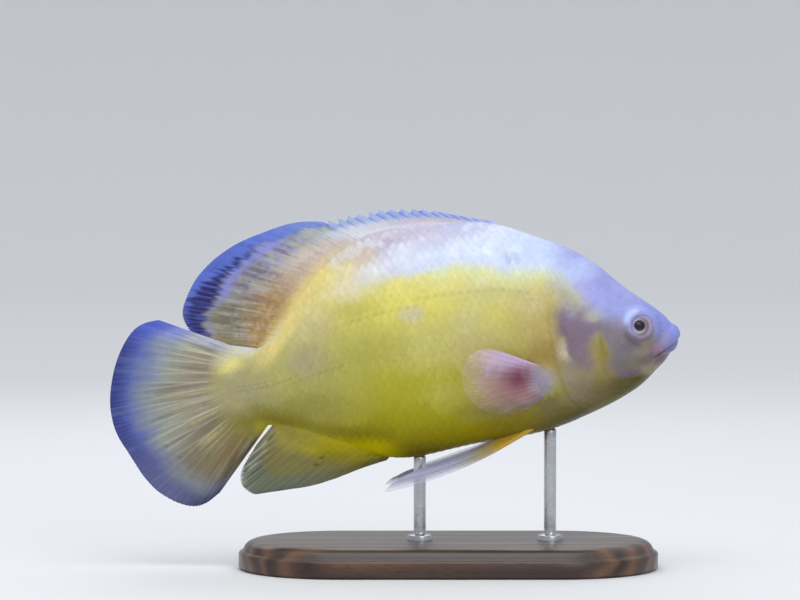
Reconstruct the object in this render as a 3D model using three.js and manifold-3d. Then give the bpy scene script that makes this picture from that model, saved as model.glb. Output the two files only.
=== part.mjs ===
// A life-size oscar fish of the lemon form, still, on a display stand.
// Units are millimetres and degrees. In the part's frame the fish heads along +X and its back is up,
// along +Z. The origin is under the middle of the part, on the surface that the stand rests on.
// The fish is shaped in a frame of its own: x is 0 at the tip of the snout and runs forward, so that
// places behind it are negative, y runs to the fish's left and z up. The finished fish is tipped nose up.
import * as THREE from "three";
import { mergeVertices } from "three/addons/utils/BufferGeometryUtils.js";
import Module from "manifold-3d";

const wasm = await Module();
wasm.setup();

const nosePosition = [139.2, 0, 114.7];
const noseUp = 7;
const gap = 0.3;

// Rings of the body from the lips to the root of the tail fin, each with its point on the outline of the
// back, its widest point seen from the side, its point on the outline of the belly, half its width, and how
// sharp its back and its belly are: 1 is an ellipse, 2 is a wedge, under 1 is fuller.
const rings = [
  ["inside the lips", [-3.4, -3.2], [-12.6, -8.6], [-3.4, -3.2], 9.8, [1, 1]],
  ["where the lips meet", [-0.5, -1.5], [-13.0, -8.6], [-1.0, -2.1], 10.9, [1, 1]],
  ["crests of the lips", [0.5, 1.2], [-13.9, -8.6], [-1.5, -4.6], 12.0, [1, 1]],
  ["backs of the lips", [-0.9, 4.8], [-15.2, -8.6], [-3.4, -7.0], 12.5, [1, 1]],
  ["fold behind the lips", [-3.2, 6.4], [-16.3, -8.5], [-5.4, -8.0], 12.5, [1, 1]],
  ["snout and chin", [-6.0, 10.2], [-18.5, -8.0], [-8.3, -11.4], 13.7, [1, 1]],
  ["nostrils", [-11.0, 15.4], [-22.5, -6.8], [-13.0, -15.4], 15.3, [1, 0.98]],
  ["front of the eyes", [-17.5, 21.3], [-27.5, -4.5], [-20.0, -21.2], 17.3, [1, 0.95]],
  ["back of the eyes", [-26.0, 29.2], [-34.0, -1.0], [-28.5, -26.0], 19.6, [1, 0.92]],
  ["cheeks", [-37.0, 40.5], [-43.0, 3.5], [-39.0, -30.3], 21.8, [1.05, 0.9]],
  ["gill covers", [-50.0, 49.8], [-54.0, 8.0], [-52.0, -34.5], 23.6, [1.12, 0.88]],
  ["shoulders", [-66.0, 57.8], [-67.5, 11.0], [-67.0, -38.3], 24.5, [1.2, 0.85]],
  ["first dorsal spine", [-86.0, 66.2], [-86.0, 13.0], [-86.0, -40.3], 24.3, [1.3, 0.82]],
  ["middle of the back", [-108.0, 68.5], [-108.0, 13.8], [-108.0, -41.2], 23.2, [1.38, 0.82]],
  ["deepest belly", [-130.0, 69.5], [-130.0, 13.0], [-130.0, -43.6], 21.0, [1.45, 0.86]],
  ["front of the anal fin", [-149.0, 67.2], [-149.0, 11.5], [-149.0, -42.4], 18.0, [1.55, 1.05]],
  ["front of the soft dorsal", [-167.0, 58.4], [-167.0, 8.8], [-167.0, -34.8], 14.4, [1.7, 1.4]],
  ["middle of the soft dorsal", [-183.0, 42.8], [-183.0, 5.0], [-183.0, -27.6], 11.2, [1.65, 1.5]],
  ["front of the tail stalk", [-197.0, 25.4], [-197.0, 1.0], [-197.0, -21.6], 8.7, [1.35, 1.25]],
  ["thinnest of the tail stalk", [-209.0, 18.5], [-209.0, -0.6], [-209.0, -19.6], 6.4, [1.1, 1.1]],
  ["root of the tail fin", [-219.0, 18.4], [-219.0, -0.8], [-219.0, -20.0], 3.8, [1.05, 1.05]],
  ["end of the flesh", [-226.0, 14.0], [-226.0, -1.0], [-226.0, -16.0], 1.6, [1, 1]],
];
const aroundBody = 30;
const stepsBetweenRings = 2;

const mouth = { front: [2, -0.1], corner: [-13.2, -8.7], snoutFold: [-3.9, 8.2], chinEnd: [-31, -30] };
const headEnd = -62.8;
const stalkStart = -194.5;
const gillCover = {
  outline: [
    [-45, 25], [-57, 29.5], [-70, 20], [-70, -22], [-58, -29.5], [-46, -28.5], [-34, -20], [-39, -5], [-42, 10],
  ],
  innerY: 13.5,
};
const eye = {
  centre: [-19.3, 14.6, 7.3], radius: 6.5, bulge: 2.6, depth: 4.5, turnedForward: 12, turnedUp: 13,
};

// A fin is drawn between its roots, buried in the flesh, and its margin. Both are seen from the side and are
// read evenly from the first ray to the last, so that rays join the like places of the two. A paired fin also
// has a y for its roots, stands out from the body by an angle at each end, and curls back along its rays.
const spinyDorsal = {
  root: [[-79, 62], [-98, 65], [-123, 66.3], [-146.4, 64.8]],
  margin: [
    [-84, 66.8], [-99, 71], [-113.8, 75.8], [-128, 78.2], [-142, 78.6], [-154, 77.5], [-165.2, 76.2],
  ],
  thick: [3.2, 0.9], grid: [24, 2],
};
const softDorsal = {
  root: [[-147.4, 64.4], [-164.8, 56], [-180, 41], [-190.2, 28.6], [-202, 18.6]],
  margin: [
    [-166.3, 76.2], [-181, 77.6], [-196.5, 74.7], [-211, 70.4], [-223.5, 63.4], [-232.5, 55.5], [-239, 45.5],
    [-240.8, 37.5], [-236.9, 28.8], [-228.5, 24.1],
  ],
  thick: [4.0, 0.8], grid: [24, 4],
};
const anal = {
  root: [[-144.5, -40.2], [-158, -36], [-171, -30.6], [-186, -24], [-200, -17.5]],
  margin: [
    [-150, -43.8], [-163.4, -46.3], [-175, -49.2], [-188, -51.7], [-200, -52.3], [-211, -52.6],
    [-217.7, -52.2], [-221.8, -48], [-222.3, -42], [-218, -35], [-211, -26.8],
  ],
  thick: [3.8, 0.8], grid: [22, 4],
};
const tail = {
  root: [[-208.5, 16.5], [-215, 6.8], [-216.4, -1.5], [-214, -10.6], [-204.5, -18.4]],
  margin: [
    [-252.5, 38.3], [-262.9, 36.4], [-271, 28.3], [-276.9, 17], [-280.4, 5], [-281.3, -4], [-278.7, -14],
    [-273, -23.5], [-267, -35], [-259.5, -45], [-250, -51.8], [-241.5, -52], [-233.3, -48],
  ],
  thick: [5.2, 0.8], grid: [26, 4],
};
const pectoral = {
  root: [[-64.5, 21.2, -9.3], [-65.8, 20.2, -15], [-66.2, 18.4, -20.6]],
  margin: [
    [-91, 4.6], [-99.5, 6], [-105.5, 2.6], [-108.6, -4], [-108.4, -11.4], [-105.4, -17.8], [-99, -23.2],
    [-90, -26.6], [-80, -26.2],
  ],
  outward: [28, 26], curl: 0.3, thick: [2.4, 0.8], grid: [16, 4],
};
const pelvic = {
  root: [[-75, 9.5, -36.4], [-80, 7.5, -37.4], [-86, 5, -38.2]],
  margin: [[-152.4, -57.3], [-147, -52], [-140, -48.5], [-128, -45.7], [-115, -43.7], [-100, -41.4]],
  outward: [7, 0], sag: 4.5, thick: [2.8, 0.8], grid: [8, 6],
};

const stand = {
  base: { length: 206, width: 100, height: 14, bevel: 2.5, centreX: 26 },
  rod: { radius: 3, sides: 24, sunk: 8, reach: 60 },
  rodsX: { front: 76, rear: 12 },
};

// Colour, roughness and metalness.
const finishes = {
  head: [0xaeb4e6, 0.38, 0], flank: [0xd2c84a, 0.4, 0], gill: [0xa39a86, 0.38, 0], lips: [0xb9b6e0, 0.35, 0],
  eye: [0xd9cfd6, 0.12, 0], fin: [0xc4bb62, 0.5, 0], tailFin: [0xa9a8cc, 0.5, 0],
  pectoralFin: [0xcaa2b4, 0.5, 0], steel: [0xb8babd, 0.28, 1], wood: [0x3a2618, 0.45, 0],
};

const { degToRad } = THREE.MathUtils;
const mix = (a, b, t) => a + (b - a) * t;

// A smooth curve through points of any dimension, evenly spaced in t from 0 to 1.
function curveThrough(points) {
  const last = points.length - 1;
  const slope = (i, k) => {
    const [a, b] = [Math.max(i - 1, 0), Math.min(i + 1, last)];
    return (points[b][k] - points[a][k]) / (b - a);
  };
  return (t) => {
    const i = Math.min(Math.floor(t * last), last - 1);
    const s = t * last - i;
    return points[i].map((p, k) => {
      const q = points[i + 1][k];
      const bend = s * (1 - s) ** 2 * slope(i, k) - s ** 2 * (1 - s) * slope(i + 1, k);
      return p + (q - p) * s ** 2 * (3 - 2 * s) + bend;
    });
  };
}

function geometryFrom(points, triangles) {
  const geometry = new THREE.BufferGeometry();
  geometry.setAttribute("position", new THREE.Float32BufferAttribute(points.flat(), 3));
  geometry.setIndex(triangles.flat());
  return geometry;
}

function toSolid(geometry) {
  const loose = geometry.index ? geometry.toNonIndexed() : geometry;
  const bare = new THREE.BufferGeometry().setAttribute("position", loose.getAttribute("position"));
  const merged = mergeVertices(bare, 1e-4);
  return new wasm.Manifold(new wasm.Mesh({
    numProp: 3,
    vertProperties: merged.attributes.position.array,
    triVerts: new Uint32Array(merged.index.array),
  }));
}

function fromSolid(solid) {
  const mesh = solid.getMesh();
  const points = [];
  for (let i = 0; i < mesh.numVert; i++) {
    points.push([0, 1, 2].map((k) => mesh.vertProperties[i * mesh.numProp + k]));
  }
  return geometryFrom(points, [[...mesh.triVerts]]);
}

// A grid of points as triangles, in the winding that faces out when rows go tailward and columns go
// down the right side.
function gridTriangles(rows, columns, at) {
  const triangles = [];
  for (let i = 0; i < rows; i++) {
    for (let j = 0; j < columns; j++) {
      triangles.push([at(i, j), at(i + 1, j), at(i + 1, j + 1)], [at(i, j), at(i + 1, j + 1), at(i, j + 1)]);
    }
  }
  return triangles;
}

// The whole flesh from lips to tail. Every ring goes once around, from the back's outline down the right side
// to the belly's outline and up the left side, as quarters of ellipses bent to the sharpness of the ring.
function bodySolid(grow) {
  const lengthwise = curveThrough(rings.map(([, top, side, under, half, sharp], i) => {
    const out = i === 0 ? 0 : grow;
    const ahead = i < 6 ? out : 0;
    return [top[0] + ahead, top[1] + out, ...side, under[0] + ahead, under[1] - out, half + out, ...sharp];
  }));
  const steps = (rings.length - 1) * stepsBetweenRings;
  const points = [];
  for (let i = 0; i <= steps; i++) {
    const [topX, topZ, sideX, sideZ, underX, underZ, half, sharpTop, sharpUnder] = lengthwise(i / steps);
    for (let j = 0; j < aroundBody; j++) {
      const turn = (2 * Math.PI * j) / aroundBody;
      const upper = Math.cos(turn) >= 0;
      const inward = 1 - Math.abs(Math.cos(turn));
      const out = half * Math.abs(Math.sin(turn)) ** (upper ? sharpTop : sharpUnder);
      const x = mix(upper ? topX : underX, sideX, inward);
      const z = mix(upper ? topZ : underZ, sideZ, inward);
      points.push([x, -Math.sign(Math.sin(turn)) * out, z]);
    }
  }
  const at = (i, j) => i * aroundBody + (j % aroundBody);
  const triangles = gridTriangles(steps, aroundBody, at);
  const [, , [endX, endZ]] = rings.at(-1);
  for (let j = 0; j < aroundBody; j++) triangles.push([at(steps, j), points.length, at(steps, j + 1)]);
  points.push([endX - grow, 0, endZ]);
  return toSolid(geometryFrom(points, triangles));
}

// An outline seen from the side, given as [x, z] points, carried across the fish from one y to another.
function sideBlock(outline, fromY, toY) {
  const shape = new THREE.Shape(outline.map(([x, z]) => new THREE.Vector2(x, z)));
  const block = new THREE.ExtrudeGeometry(shape, { depth: toY - fromY, bevelEnabled: false });
  block.rotateX(Math.PI / 2);
  block.translate(0, toY, 0);
  return toSolid(block);
}

// A slab as thin as the gap, which parts the flesh along a straight line seen from the side.
function partingSlab(from, to) {
  const across = new THREE.Vector2(from[1] - to[1], to[0] - from[0]).setLength(gap / 2);
  const corner = ([x, z], side) => [x + side * across.x, z + side * across.y];
  return sideBlock([corner(from, 1), corner(from, -1), corner(to, -1), corner(to, 1)], -wide, wide);
}

// A fin is a sheet with two faces and a rim, thickest along its roots.
function finSolid(fin, grow = 0) {
  const roots = curveThrough(fin.root.map((p) => (p.length === 3 ? p : [p[0], 0, p[1]])));
  const margin = curveThrough(fin.margin);
  const [outFirst, outLast] = fin.outward ?? [0, 0];
  const sheet = (s, r) => {
    const [x, y, z] = roots(s);
    const [tipX, tipZ] = margin(s);
    const out = Math.hypot(tipX - x, tipZ - z) * Math.tan(degToRad(mix(outFirst, outLast, s)));
    const curl = fin.curl ?? 0;
    const sag = (fin.sag ?? 0) * 4 * r * (1 - r) * (1 - s);
    return new THREE.Vector3(mix(x, tipX, r), y + out * r * (1 + curl * (1 - r)), mix(z, tipZ, r) - sag);
  };
  const [across, along] = fin.grid;
  const step = 1e-3;
  const faces = [[], []];
  for (let i = 0; i <= across; i++) {
    for (let j = 0; j <= along; j++) {
      const [s, r] = [i / across, j / along];
      const alongRay = sheet(s, Math.min(r + step, 1)).sub(sheet(s, Math.max(r - step, 0)));
      const acrossRays = sheet(Math.min(s + step, 1), r).sub(sheet(Math.max(s - step, 0), r));
      const normal = acrossRays.cross(alongRay).normalize();
      const half = (mix(fin.thick[1], fin.thick[0], (1 - r) ** 2) + grow) / 2;
      faces.forEach((face, k) => face.push(sheet(s, r).addScaledVector(normal, k ? -half : half).toArray()));
    }
  }
  const other = faces[0].length;
  const at = (i, j, back) => back * other + i * (along + 1) + j;
  const rim = [];
  for (let i = 0; i < across; i++) rim.push([i, 0, i + 1, 0], [i + 1, along, i, along]);
  for (let j = 0; j < along; j++) rim.push([0, j + 1, 0, j], [across, j, across, j + 1]);
  const triangles = [
    ...gridTriangles(across, along, (i, j) => at(i, j, 0)),
    ...gridTriangles(across, along, (i, j) => at(i, j, 1)).map(([a, b, c]) => [a, c, b]),
    ...rim.flatMap(([i, j, m, n]) => [
      [at(i, j, 0), at(i, j, 1), at(m, n, 1)], [at(i, j, 0), at(m, n, 1), at(m, n, 0)],
    ]),
  ];
  const made = toSolid(geometryFrom(faces.flat(), triangles));
  if (made.volume() > 0) return made;
  return toSolid(geometryFrom(faces.flat(), triangles.map(([a, b, c]) => [a, c, b])));
}

// The same fin a little larger each way, which cuts room for it in its neighbours.
function roomFor(fin) {
  const spread = (points, by) => points.map(([x, z], i) => {
    const out = i === 0 ? by : i === points.length - 1 ? -by : 0;
    return [x, z + out];
  });
  return finSolid({ ...fin, root: spread(fin.root, 0.5), margin: spread(fin.margin, 0.5) }, 2 * gap);
}

// The eye is a disc with a domed front, turned about its own axis and set into the side of the head.
function eyeSolid(side, grow) {
  const radius = eye.radius + grow;
  const dome = (eye.radius ** 2 + eye.bulge ** 2) / (2 * eye.bulge);
  const profile = [[0, -eye.depth - grow], [radius, -eye.depth - grow]];
  const steps = 5;
  for (let i = 0; i <= steps; i++) {
    const out = radius * Math.cos((Math.PI / 2) * (i / steps));
    const rise = Math.sqrt(dome ** 2 - Math.min(out, eye.radius) ** 2) - (dome - eye.bulge) + grow;
    profile.push([i === steps ? 0 : out, rise]);
  }
  const turned = new THREE.LatheGeometry(profile.map(([r, h]) => new THREE.Vector2(r, h)), 20);
  if (side < 0) turned.rotateX(Math.PI);
  const axis = new THREE.Vector3(
    Math.sin(degToRad(eye.turnedForward)), side, Math.sin(degToRad(eye.turnedUp)),
  ).normalize();
  turned.applyQuaternion(new THREE.Quaternion().setFromUnitVectors(new THREE.Vector3(0, side, 0), axis));
  turned.translate(eye.centre[0], side * eye.centre[1], eye.centre[2]);
  return toSolid(turned);
}

const far = 300;
const wide = 60;
const sides = { right: -1, left: 1 };
const flesh = bodySolid(0);
const roomForFlesh = bodySolid(gap);
const roomForTail = roomFor(tail);

function between(fromX, toX) {
  return sideBlock([[fromX, -far], [toX, -far], [toX, far], [fromX, far]], -wide, wide);
}
const headFlesh = flesh.intersect(between(headEnd + gap / 2, far));
const trunk = flesh.intersect(between(stalkStart + gap / 2, headEnd - gap / 2));
const tailStalk = flesh.intersect(between(-far, stalkStart - gap / 2));

const { front, corner, snoutFold, chinEnd } = mouth;
const aboveSnout = [2 * snoutFold[0] - corner[0], 2 * snoutFold[1] - corner[1]];
const upperJawBlock = sideBlock([corner, snoutFold, aboveSnout, [far, front[1]], front], -wide, wide);
const lowerJawBlock = sideBlock([corner, front, [far, -far], [chinEnd[0], -far], chinEnd], -wide, wide);
const jawGaps = partingSlab(corner, snoutFold)
  .add(partingSlab(corner, front))
  .add(partingSlab(corner, chinEnd))
  .add(partingSlab(chinEnd, [chinEnd[0], -far]));

const gillLine = new THREE.SplineCurve(
  [...gillCover.outline, gillCover.outline[0]].map(([x, z]) => new THREE.Vector2(x, z)),
).getPoints(27).slice(1);
const gillMiddle = new THREE.Vector2();
for (const p of gillLine) gillMiddle.addScaledVector(p, 1 / gillLine.length);
const gillOutline = (grow) => gillLine.map((p) => {
  const out = p.clone().sub(gillMiddle);
  return out.setLength(out.length() + grow).add(gillMiddle).toArray();
});
function gillBlock(side, grow) {
  const inner = gillCover.innerY - grow;
  return sideBlock(gillOutline(1.4 * grow), side < 0 ? -wide : inner, side < 0 ? -inner : wide);
}

const pieces = {
  upper_jaw: [headFlesh.intersect(upperJawBlock).subtract(jawGaps), "lips"],
  lower_jaw: [headFlesh.intersect(lowerJawBlock).subtract(jawGaps), "lips"],
  trunk: [trunk, "flank"],
  tail_stalk: [tailStalk, "flank"],
  dorsal_fin_spiny: [finSolid(spinyDorsal).subtract(roomForFlesh), "fin"],
  dorsal_fin_soft: [finSolid(softDorsal).subtract(roomForFlesh).subtract(roomForTail), "fin"],
  anal_fin: [finSolid(anal).subtract(roomForFlesh).subtract(roomForTail), "fin"],
  tail_fin: [finSolid(tail).subtract(roomForFlesh), "tailFin"],
};
let head = headFlesh.subtract(upperJawBlock).subtract(lowerJawBlock).subtract(jawGaps);
for (const [name, side] of Object.entries(sides)) {
  const onSide = (solid) => (side > 0 ? solid : solid.mirror([0, 1, 0]));
  head = head.subtract(eyeSolid(side, gap)).subtract(gillBlock(side, gap));
  pieces[`eye_${name}`] = [eyeSolid(side, 0), "eye"];
  pieces[`gill_cover_${name}`] = [headFlesh.intersect(gillBlock(side, 0)), "gill"];
  pieces[`pectoral_fin_${name}`] = [onSide(finSolid(pectoral)).subtract(roomForFlesh), "pectoralFin"];
  pieces[`pelvic_fin_${name}`] = [onSide(finSolid(pelvic)).subtract(roomForFlesh), "fin"];
}
pieces.head = [head, "head"];

function largestOf(solid) {
  return solid.decompose().reduce((most, s) => (s.volume() > most.volume() ? s : most));
}

function meshOf(name, solid, finish) {
  const [color, roughness, metalness] = finishes[finish];
  const material = new THREE.MeshStandardMaterial({ color, roughness, metalness });
  const mesh = new THREE.Mesh(fromSolid(solid), material);
  mesh.geometry.computeVertexNormals();
  mesh.name = name;
  return mesh;
}

const fish = new THREE.Group();
fish.name = "fish";
fish.position.set(...nosePosition);
fish.rotation.y = -degToRad(noseUp);
for (const [name, [solid, finish]] of Object.entries(pieces)) {
  fish.add(meshOf(name, largestOf(solid), finish));
}
fish.updateMatrixWorld(true);

// The base is a flat plate with round ends and bevelled edges, standing on z = 0.
function baseSolid() {
  const { length, width, height, bevel, centreX } = stand.base;
  const shape = new THREE.Shape();
  const endX = (length - width) / 2;
  shape.absarc(endX, 0, width / 2 - bevel, -Math.PI / 2, Math.PI / 2);
  shape.absarc(-endX, 0, width / 2 - bevel, Math.PI / 2, 1.5 * Math.PI);
  const plate = new THREE.ExtrudeGeometry(shape, {
    depth: height - 2 * bevel, bevelThickness: bevel, bevelSize: bevel, bevelSegments: 1, curveSegments: 12,
  });
  return toSolid(plate.translate(centreX, 0, bevel));
}

// A rod is sunk into the base and ends under the flesh, as far below it as the gap.
function rodSolid(x, grow) {
  const { radius, sides: count, sunk, reach } = stand.rod;
  const length = reach + sunk + grow;
  const cylinder = new THREE.CylinderGeometry(radius + grow, radius + grow, length, count);
  return toSolid(cylinder.rotateX(Math.PI / 2).translate(x, 0, stand.base.height + reach - length / 2));
}

const fleshOnStand = roomForFlesh.transform(fish.matrixWorld.elements);
const part = new THREE.Group();
part.name = "oscar_fish";
part.add(fish);
let base = baseSolid();
for (const [name, x] of Object.entries(stand.rodsX)) {
  base = base.subtract(rodSolid(x, gap));
  part.add(meshOf(`stand_rod_${name}`, largestOf(rodSolid(x, 0).subtract(fleshOnStand)), "steel"));
}
part.add(meshOf("stand_base", base, "wood"));

export default part;
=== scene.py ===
import math
import bpy
import numpy as np
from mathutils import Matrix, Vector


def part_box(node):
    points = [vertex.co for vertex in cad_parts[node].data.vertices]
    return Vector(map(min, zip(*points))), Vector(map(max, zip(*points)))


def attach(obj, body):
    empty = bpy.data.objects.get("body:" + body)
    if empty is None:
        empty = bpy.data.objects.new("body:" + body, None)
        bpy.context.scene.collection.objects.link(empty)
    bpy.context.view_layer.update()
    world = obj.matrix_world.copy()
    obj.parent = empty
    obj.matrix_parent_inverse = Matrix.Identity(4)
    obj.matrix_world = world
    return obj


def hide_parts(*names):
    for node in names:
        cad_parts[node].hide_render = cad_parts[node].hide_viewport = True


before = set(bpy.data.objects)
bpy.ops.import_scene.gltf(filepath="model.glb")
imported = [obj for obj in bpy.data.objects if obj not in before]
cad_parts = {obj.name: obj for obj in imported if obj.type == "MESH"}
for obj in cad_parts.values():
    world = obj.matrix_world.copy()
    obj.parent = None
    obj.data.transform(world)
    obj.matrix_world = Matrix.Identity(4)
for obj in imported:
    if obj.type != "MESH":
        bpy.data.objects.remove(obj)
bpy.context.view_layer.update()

# A life-size oscar fish of the lemon form on a display stand. Shapes are worked out in millimetres in the
# fish's own frame: x is 0 at the tip of the snout and negative behind it, y runs to its left, z up.
pose = {"nose": (139.2, 0.0, 114.7), "noseUp": 7.0}  # snout's tip in millimetres, and degrees
dice = np.random.default_rng(11)


# Tips the fish nose up, moves its snout to its place and turns millimetres into metres.
def toWorld(points):
    tip = math.radians(pose["noseUp"])
    x, y, z = np.moveaxis(np.asarray(points, float), -1, 0)
    tippedX, tippedZ = x * math.cos(tip) - z * math.sin(tip), x * math.sin(tip) + z * math.cos(tip)
    return (np.stack([tippedX, y, tippedZ], -1) + pose["nose"]) / 1000


# A colour as it looks on a screen, 0 to 255, as the linear values that materials take.
def shade(red, green, blue):
    screen = np.array([red, green, blue]) / 255
    return np.where(screen < 0.04045, screen / 12.92, ((screen + 0.055) / 1.055) ** 2.4)


# Rises smoothly from 0 to 1 as x goes from low to high.
def ease(x, low, high):
    t = np.clip((x - low) / (high - low), 0, 1)
    return t * t * (3 - 2 * t)


# Mixes two values or colours, from a where the share is 0 to b where it is 1.
def blend(a, b, share):
    share = np.asarray(share)[..., None]
    return a * (1 - share) + b * share


# A round bump of height 1 that has faded away two widths from its middle.
def bump(x, width):
    return np.exp(-((x / width) ** 2))


# Value noise from -1 to 1: a random number at each corner of a cubic lattice, eased between corners.
def grain(points, size, seed):
    at = np.asarray(points, float) / size + 1000
    cell = np.floor(at).astype(np.int64)
    share = at - cell
    share = share * share * (3 - 2 * share)
    total = 0
    for corner in np.ndindex(2, 2, 2):
        key = (cell + corner) @ np.array([73856093, 19349663, 83492791]) + seed * 2654435761
        key = (key ^ (key >> 13)) * 1274126177 & 0x7FFFFFFF
        key = (key ^ (key >> 15)) % 4096
        weight = np.prod(np.where(np.array(corner) == 1, share, 1 - share), axis=-1)
        total = total + weight * (key / 2047.5 - 1)
    return total


# Lays colours over one another. Each layer is a colour, as on a screen or already linear, and its strength.
def paint(colour, layers):
    for tone, strength in layers:
        colour = blend(colour, shade(*tone) if isinstance(tone, tuple) else tone, strength)
    return colour


# A mix of two colours given as on a screen.
def between(first, second, share):
    return blend(shade(*first), shade(*second), share)


# A smooth curve through rows of [parameter, values...]: a cubic spline over the rows with continuous
# bending, and the parameter stretched in straight steps between its rows.
def curveThrough(rows):
    rows = np.asarray(rows, float)
    steps, knots = rows[:, 0], rows[:, 1:]
    count = len(knots)
    system = np.eye(count)
    inner = np.arange(1, count - 1)
    system[inner, inner - 1], system[inner, inner], system[inner, inner + 1] = 1, 4, 1
    right = np.zeros_like(knots)
    right[1:-1] = 6 * (knots[2:] - 2 * knots[1:-1] + knots[:-2])
    bend = np.linalg.solve(system, right)

    def at(t):
        place = np.interp(t, steps, np.arange(count))
        i = np.minimum(place.astype(int), count - 2)
        f = (place - i)[..., None]
        g = 1 - f
        return g * knots[i] + f * knots[i + 1] + ((g**3 - g) * bend[i] + (f**3 - f) * bend[i + 1]) / 6

    return at


# Rows counted 0, 1, 2 and so on, for a curve through points alone.
def counted(points):
    return [[i, *point] for i, point in enumerate(points)]


# How far points lie from a curve seen from the side, as a signed distance, and how far along it they are.
# The curve runs down the fish's right side, and what is behind it counts as positive.
def fromCurve(points, x, z):
    line = curveThrough(counted(points))(np.linspace(0, len(points) - 1, 120))
    ahead = np.gradient(line, axis=0)
    ahead /= np.linalg.norm(ahead, axis=1)[:, None]
    apart = np.stack([x[..., None] - line[:, 0], z[..., None] - line[:, 1]], -1)
    nearest = np.argmin((apart**2).sum(-1), axis=-1)
    offset = np.take_along_axis(apart, nearest[..., None, None], axis=-2)[..., 0, :]
    way = ahead[nearest]
    side = offset[..., 0] * way[..., 1] - offset[..., 1] * way[..., 0]
    past = np.abs((offset * way).sum(-1)) * ((nearest == 0) | (nearest == len(line) - 1))
    return np.where(side < 0, -1, 1) * np.hypot(side, past), nearest / (len(line) - 1)


# A mesh from points in the fish's frame, turned outwards, with a colour at each point.
def makePiece(name, points, faces, material, colours=None, world=False, sharp=None):
    mesh = bpy.data.meshes.new(name)
    places = np.asarray(points, float) if world else toWorld(points)
    faces = [face for block in faces for face in np.asarray(block).tolist()]
    mesh.from_pydata(places.tolist(), [], faces)
    mesh.calc_loop_triangles()
    corners = np.empty(len(mesh.loop_triangles) * 3, int)
    mesh.loop_triangles.foreach_get("vertices", corners)
    a, b, c = np.moveaxis(places[corners.reshape(-1, 3)], 1, 0)
    if np.einsum("ij,ij->i", a - places.mean(0), np.cross(b - a, c - a)).sum() < 0:
        mesh.flip_normals()
    if colours is not None:
        if colours.shape[-1] == 3:
            colours = np.concatenate([colours, np.ones((len(colours), 1))], axis=1)
        layer = mesh.color_attributes.new("tint", "FLOAT_COLOR", "POINT")
        layer.data.foreach_set("color", np.clip(colours, 0, 1).astype(np.float32).ravel())
    mesh.shade_smooth()
    if sharp is not None:
        mesh.set_sharp_from_angle(angle=math.radians(sharp))
    mesh.materials.append(material)
    piece = bpy.data.objects.new(name, mesh)
    bpy.context.collection.objects.link(piece)
    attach(piece, "root")
    return piece


# Quads between the rows of a grid whose last column joins the first.
def gridFaces(rows, columns):
    i, j = np.meshgrid(np.arange(rows - 1), np.arange(columns), indexing="ij")
    k = (j + 1) % columns
    quads = np.stack([i * columns + j, (i + 1) * columns + j, (i + 1) * columns + k, i * columns + k], -1)
    return quads.reshape(-1, 4)


# Materials.

# A node material with its one Principled surface.
def newMaterial(name):
    material = bpy.data.materials.new(name)
    material.use_nodes = True
    return material, material.node_tree, material.node_tree.nodes["Principled BSDF"]


# A shader node with its settings. Those that start with in_ are values of its sockets.
def addNode(tree, kind, **settings):
    node = tree.nodes.new("ShaderNode" + kind)
    for key, value in settings.items():
        if key.startswith("in_"):
            node.inputs[key[3:].replace("_", " ")].default_value = value
        else:
            setattr(node, key, value)
    return node


# Noise on the object's own coordinates, in patterns so many millimetres across, or drawn out along an axis.
def addNoise(tree, size, detail, stretch=(1, 1, 1)):
    place = addNode(tree, "TexCoord")
    mapping = addNode(tree, "Mapping")
    mapping.inputs["Scale"].default_value = [1000 / size / s for s in stretch]
    noise = addNode(tree, "TexNoise", in_Scale=1.0, in_Detail=detail, in_Roughness=0.6)
    tree.links.new(place.outputs["Object"], mapping.inputs["Vector"])
    tree.links.new(mapping.outputs["Vector"], noise.inputs["Vector"])
    return noise


# Stretches noise, which keeps mostly between 0.3 and 0.7, to the range from low to high.
def addRange(tree, source, low, high):
    spread = addNode(tree, "MapRange")
    spread.inputs["From Min"].default_value = 0.3
    spread.inputs["From Max"].default_value = 0.7
    spread.inputs["To Min"].default_value = low
    spread.inputs["To Max"].default_value = high
    tree.links.new(source, spread.inputs["Value"])
    return spread.outputs["Result"]


# Tips the surface's normal by the slope of a height, which is so many millimetres at its full value.
def addBump(tree, surface, height, distance):
    dent = addNode(tree, "Bump", in_Strength=1.0, in_Distance=distance / 1000)
    tree.links.new(height, dent.inputs["Height"])
    tree.links.new(dent.outputs["Normal"], surface.inputs["Normal"])


# Wet flesh, scales and fins: the colour of each point, mottled, under a thin coat of slime.
def wetMaterial(name, look):
    material, tree, surface = newMaterial(name)
    tint = addNode(tree, "Attribute", attribute_name="tint")
    mottle = addNoise(tree, look["mottleSize"], 4.0)
    level = addRange(tree, mottle.outputs["Fac"], 1 - look["mottle"], 1 + look["mottle"])
    scaled = addNode(tree, "VectorMath", operation="SCALE")
    tree.links.new(tint.outputs["Color"], scaled.inputs[0])
    tree.links.new(level, scaled.inputs["Scale"])
    tree.links.new(scaled.outputs["Vector"], surface.inputs["Base Color"])
    fine = addNoise(tree, look["poreSize"], 2.0)
    tree.links.new(addRange(tree, fine.outputs["Fac"], *look["roughness"]), surface.inputs["Roughness"])
    addBump(tree, surface, fine.outputs["Fac"], look["poreDepth"])
    surface.inputs["Coat Weight"].default_value = look["coat"]
    surface.inputs["Coat Roughness"].default_value = look["coatRoughness"]
    surface.inputs["Specular IOR Level"].default_value = look["specular"]
    surface.inputs["Subsurface Weight"].default_value = look.get("soft", 0)
    surface.inputs["Subsurface Radius"].default_value = (1.0, 0.6, 0.4)
    surface.inputs["Subsurface Scale"].default_value = 0.002
    if look.get("clear"):
        tree.links.new(tint.outputs["Alpha"], surface.inputs["Alpha"])
    return material


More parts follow.
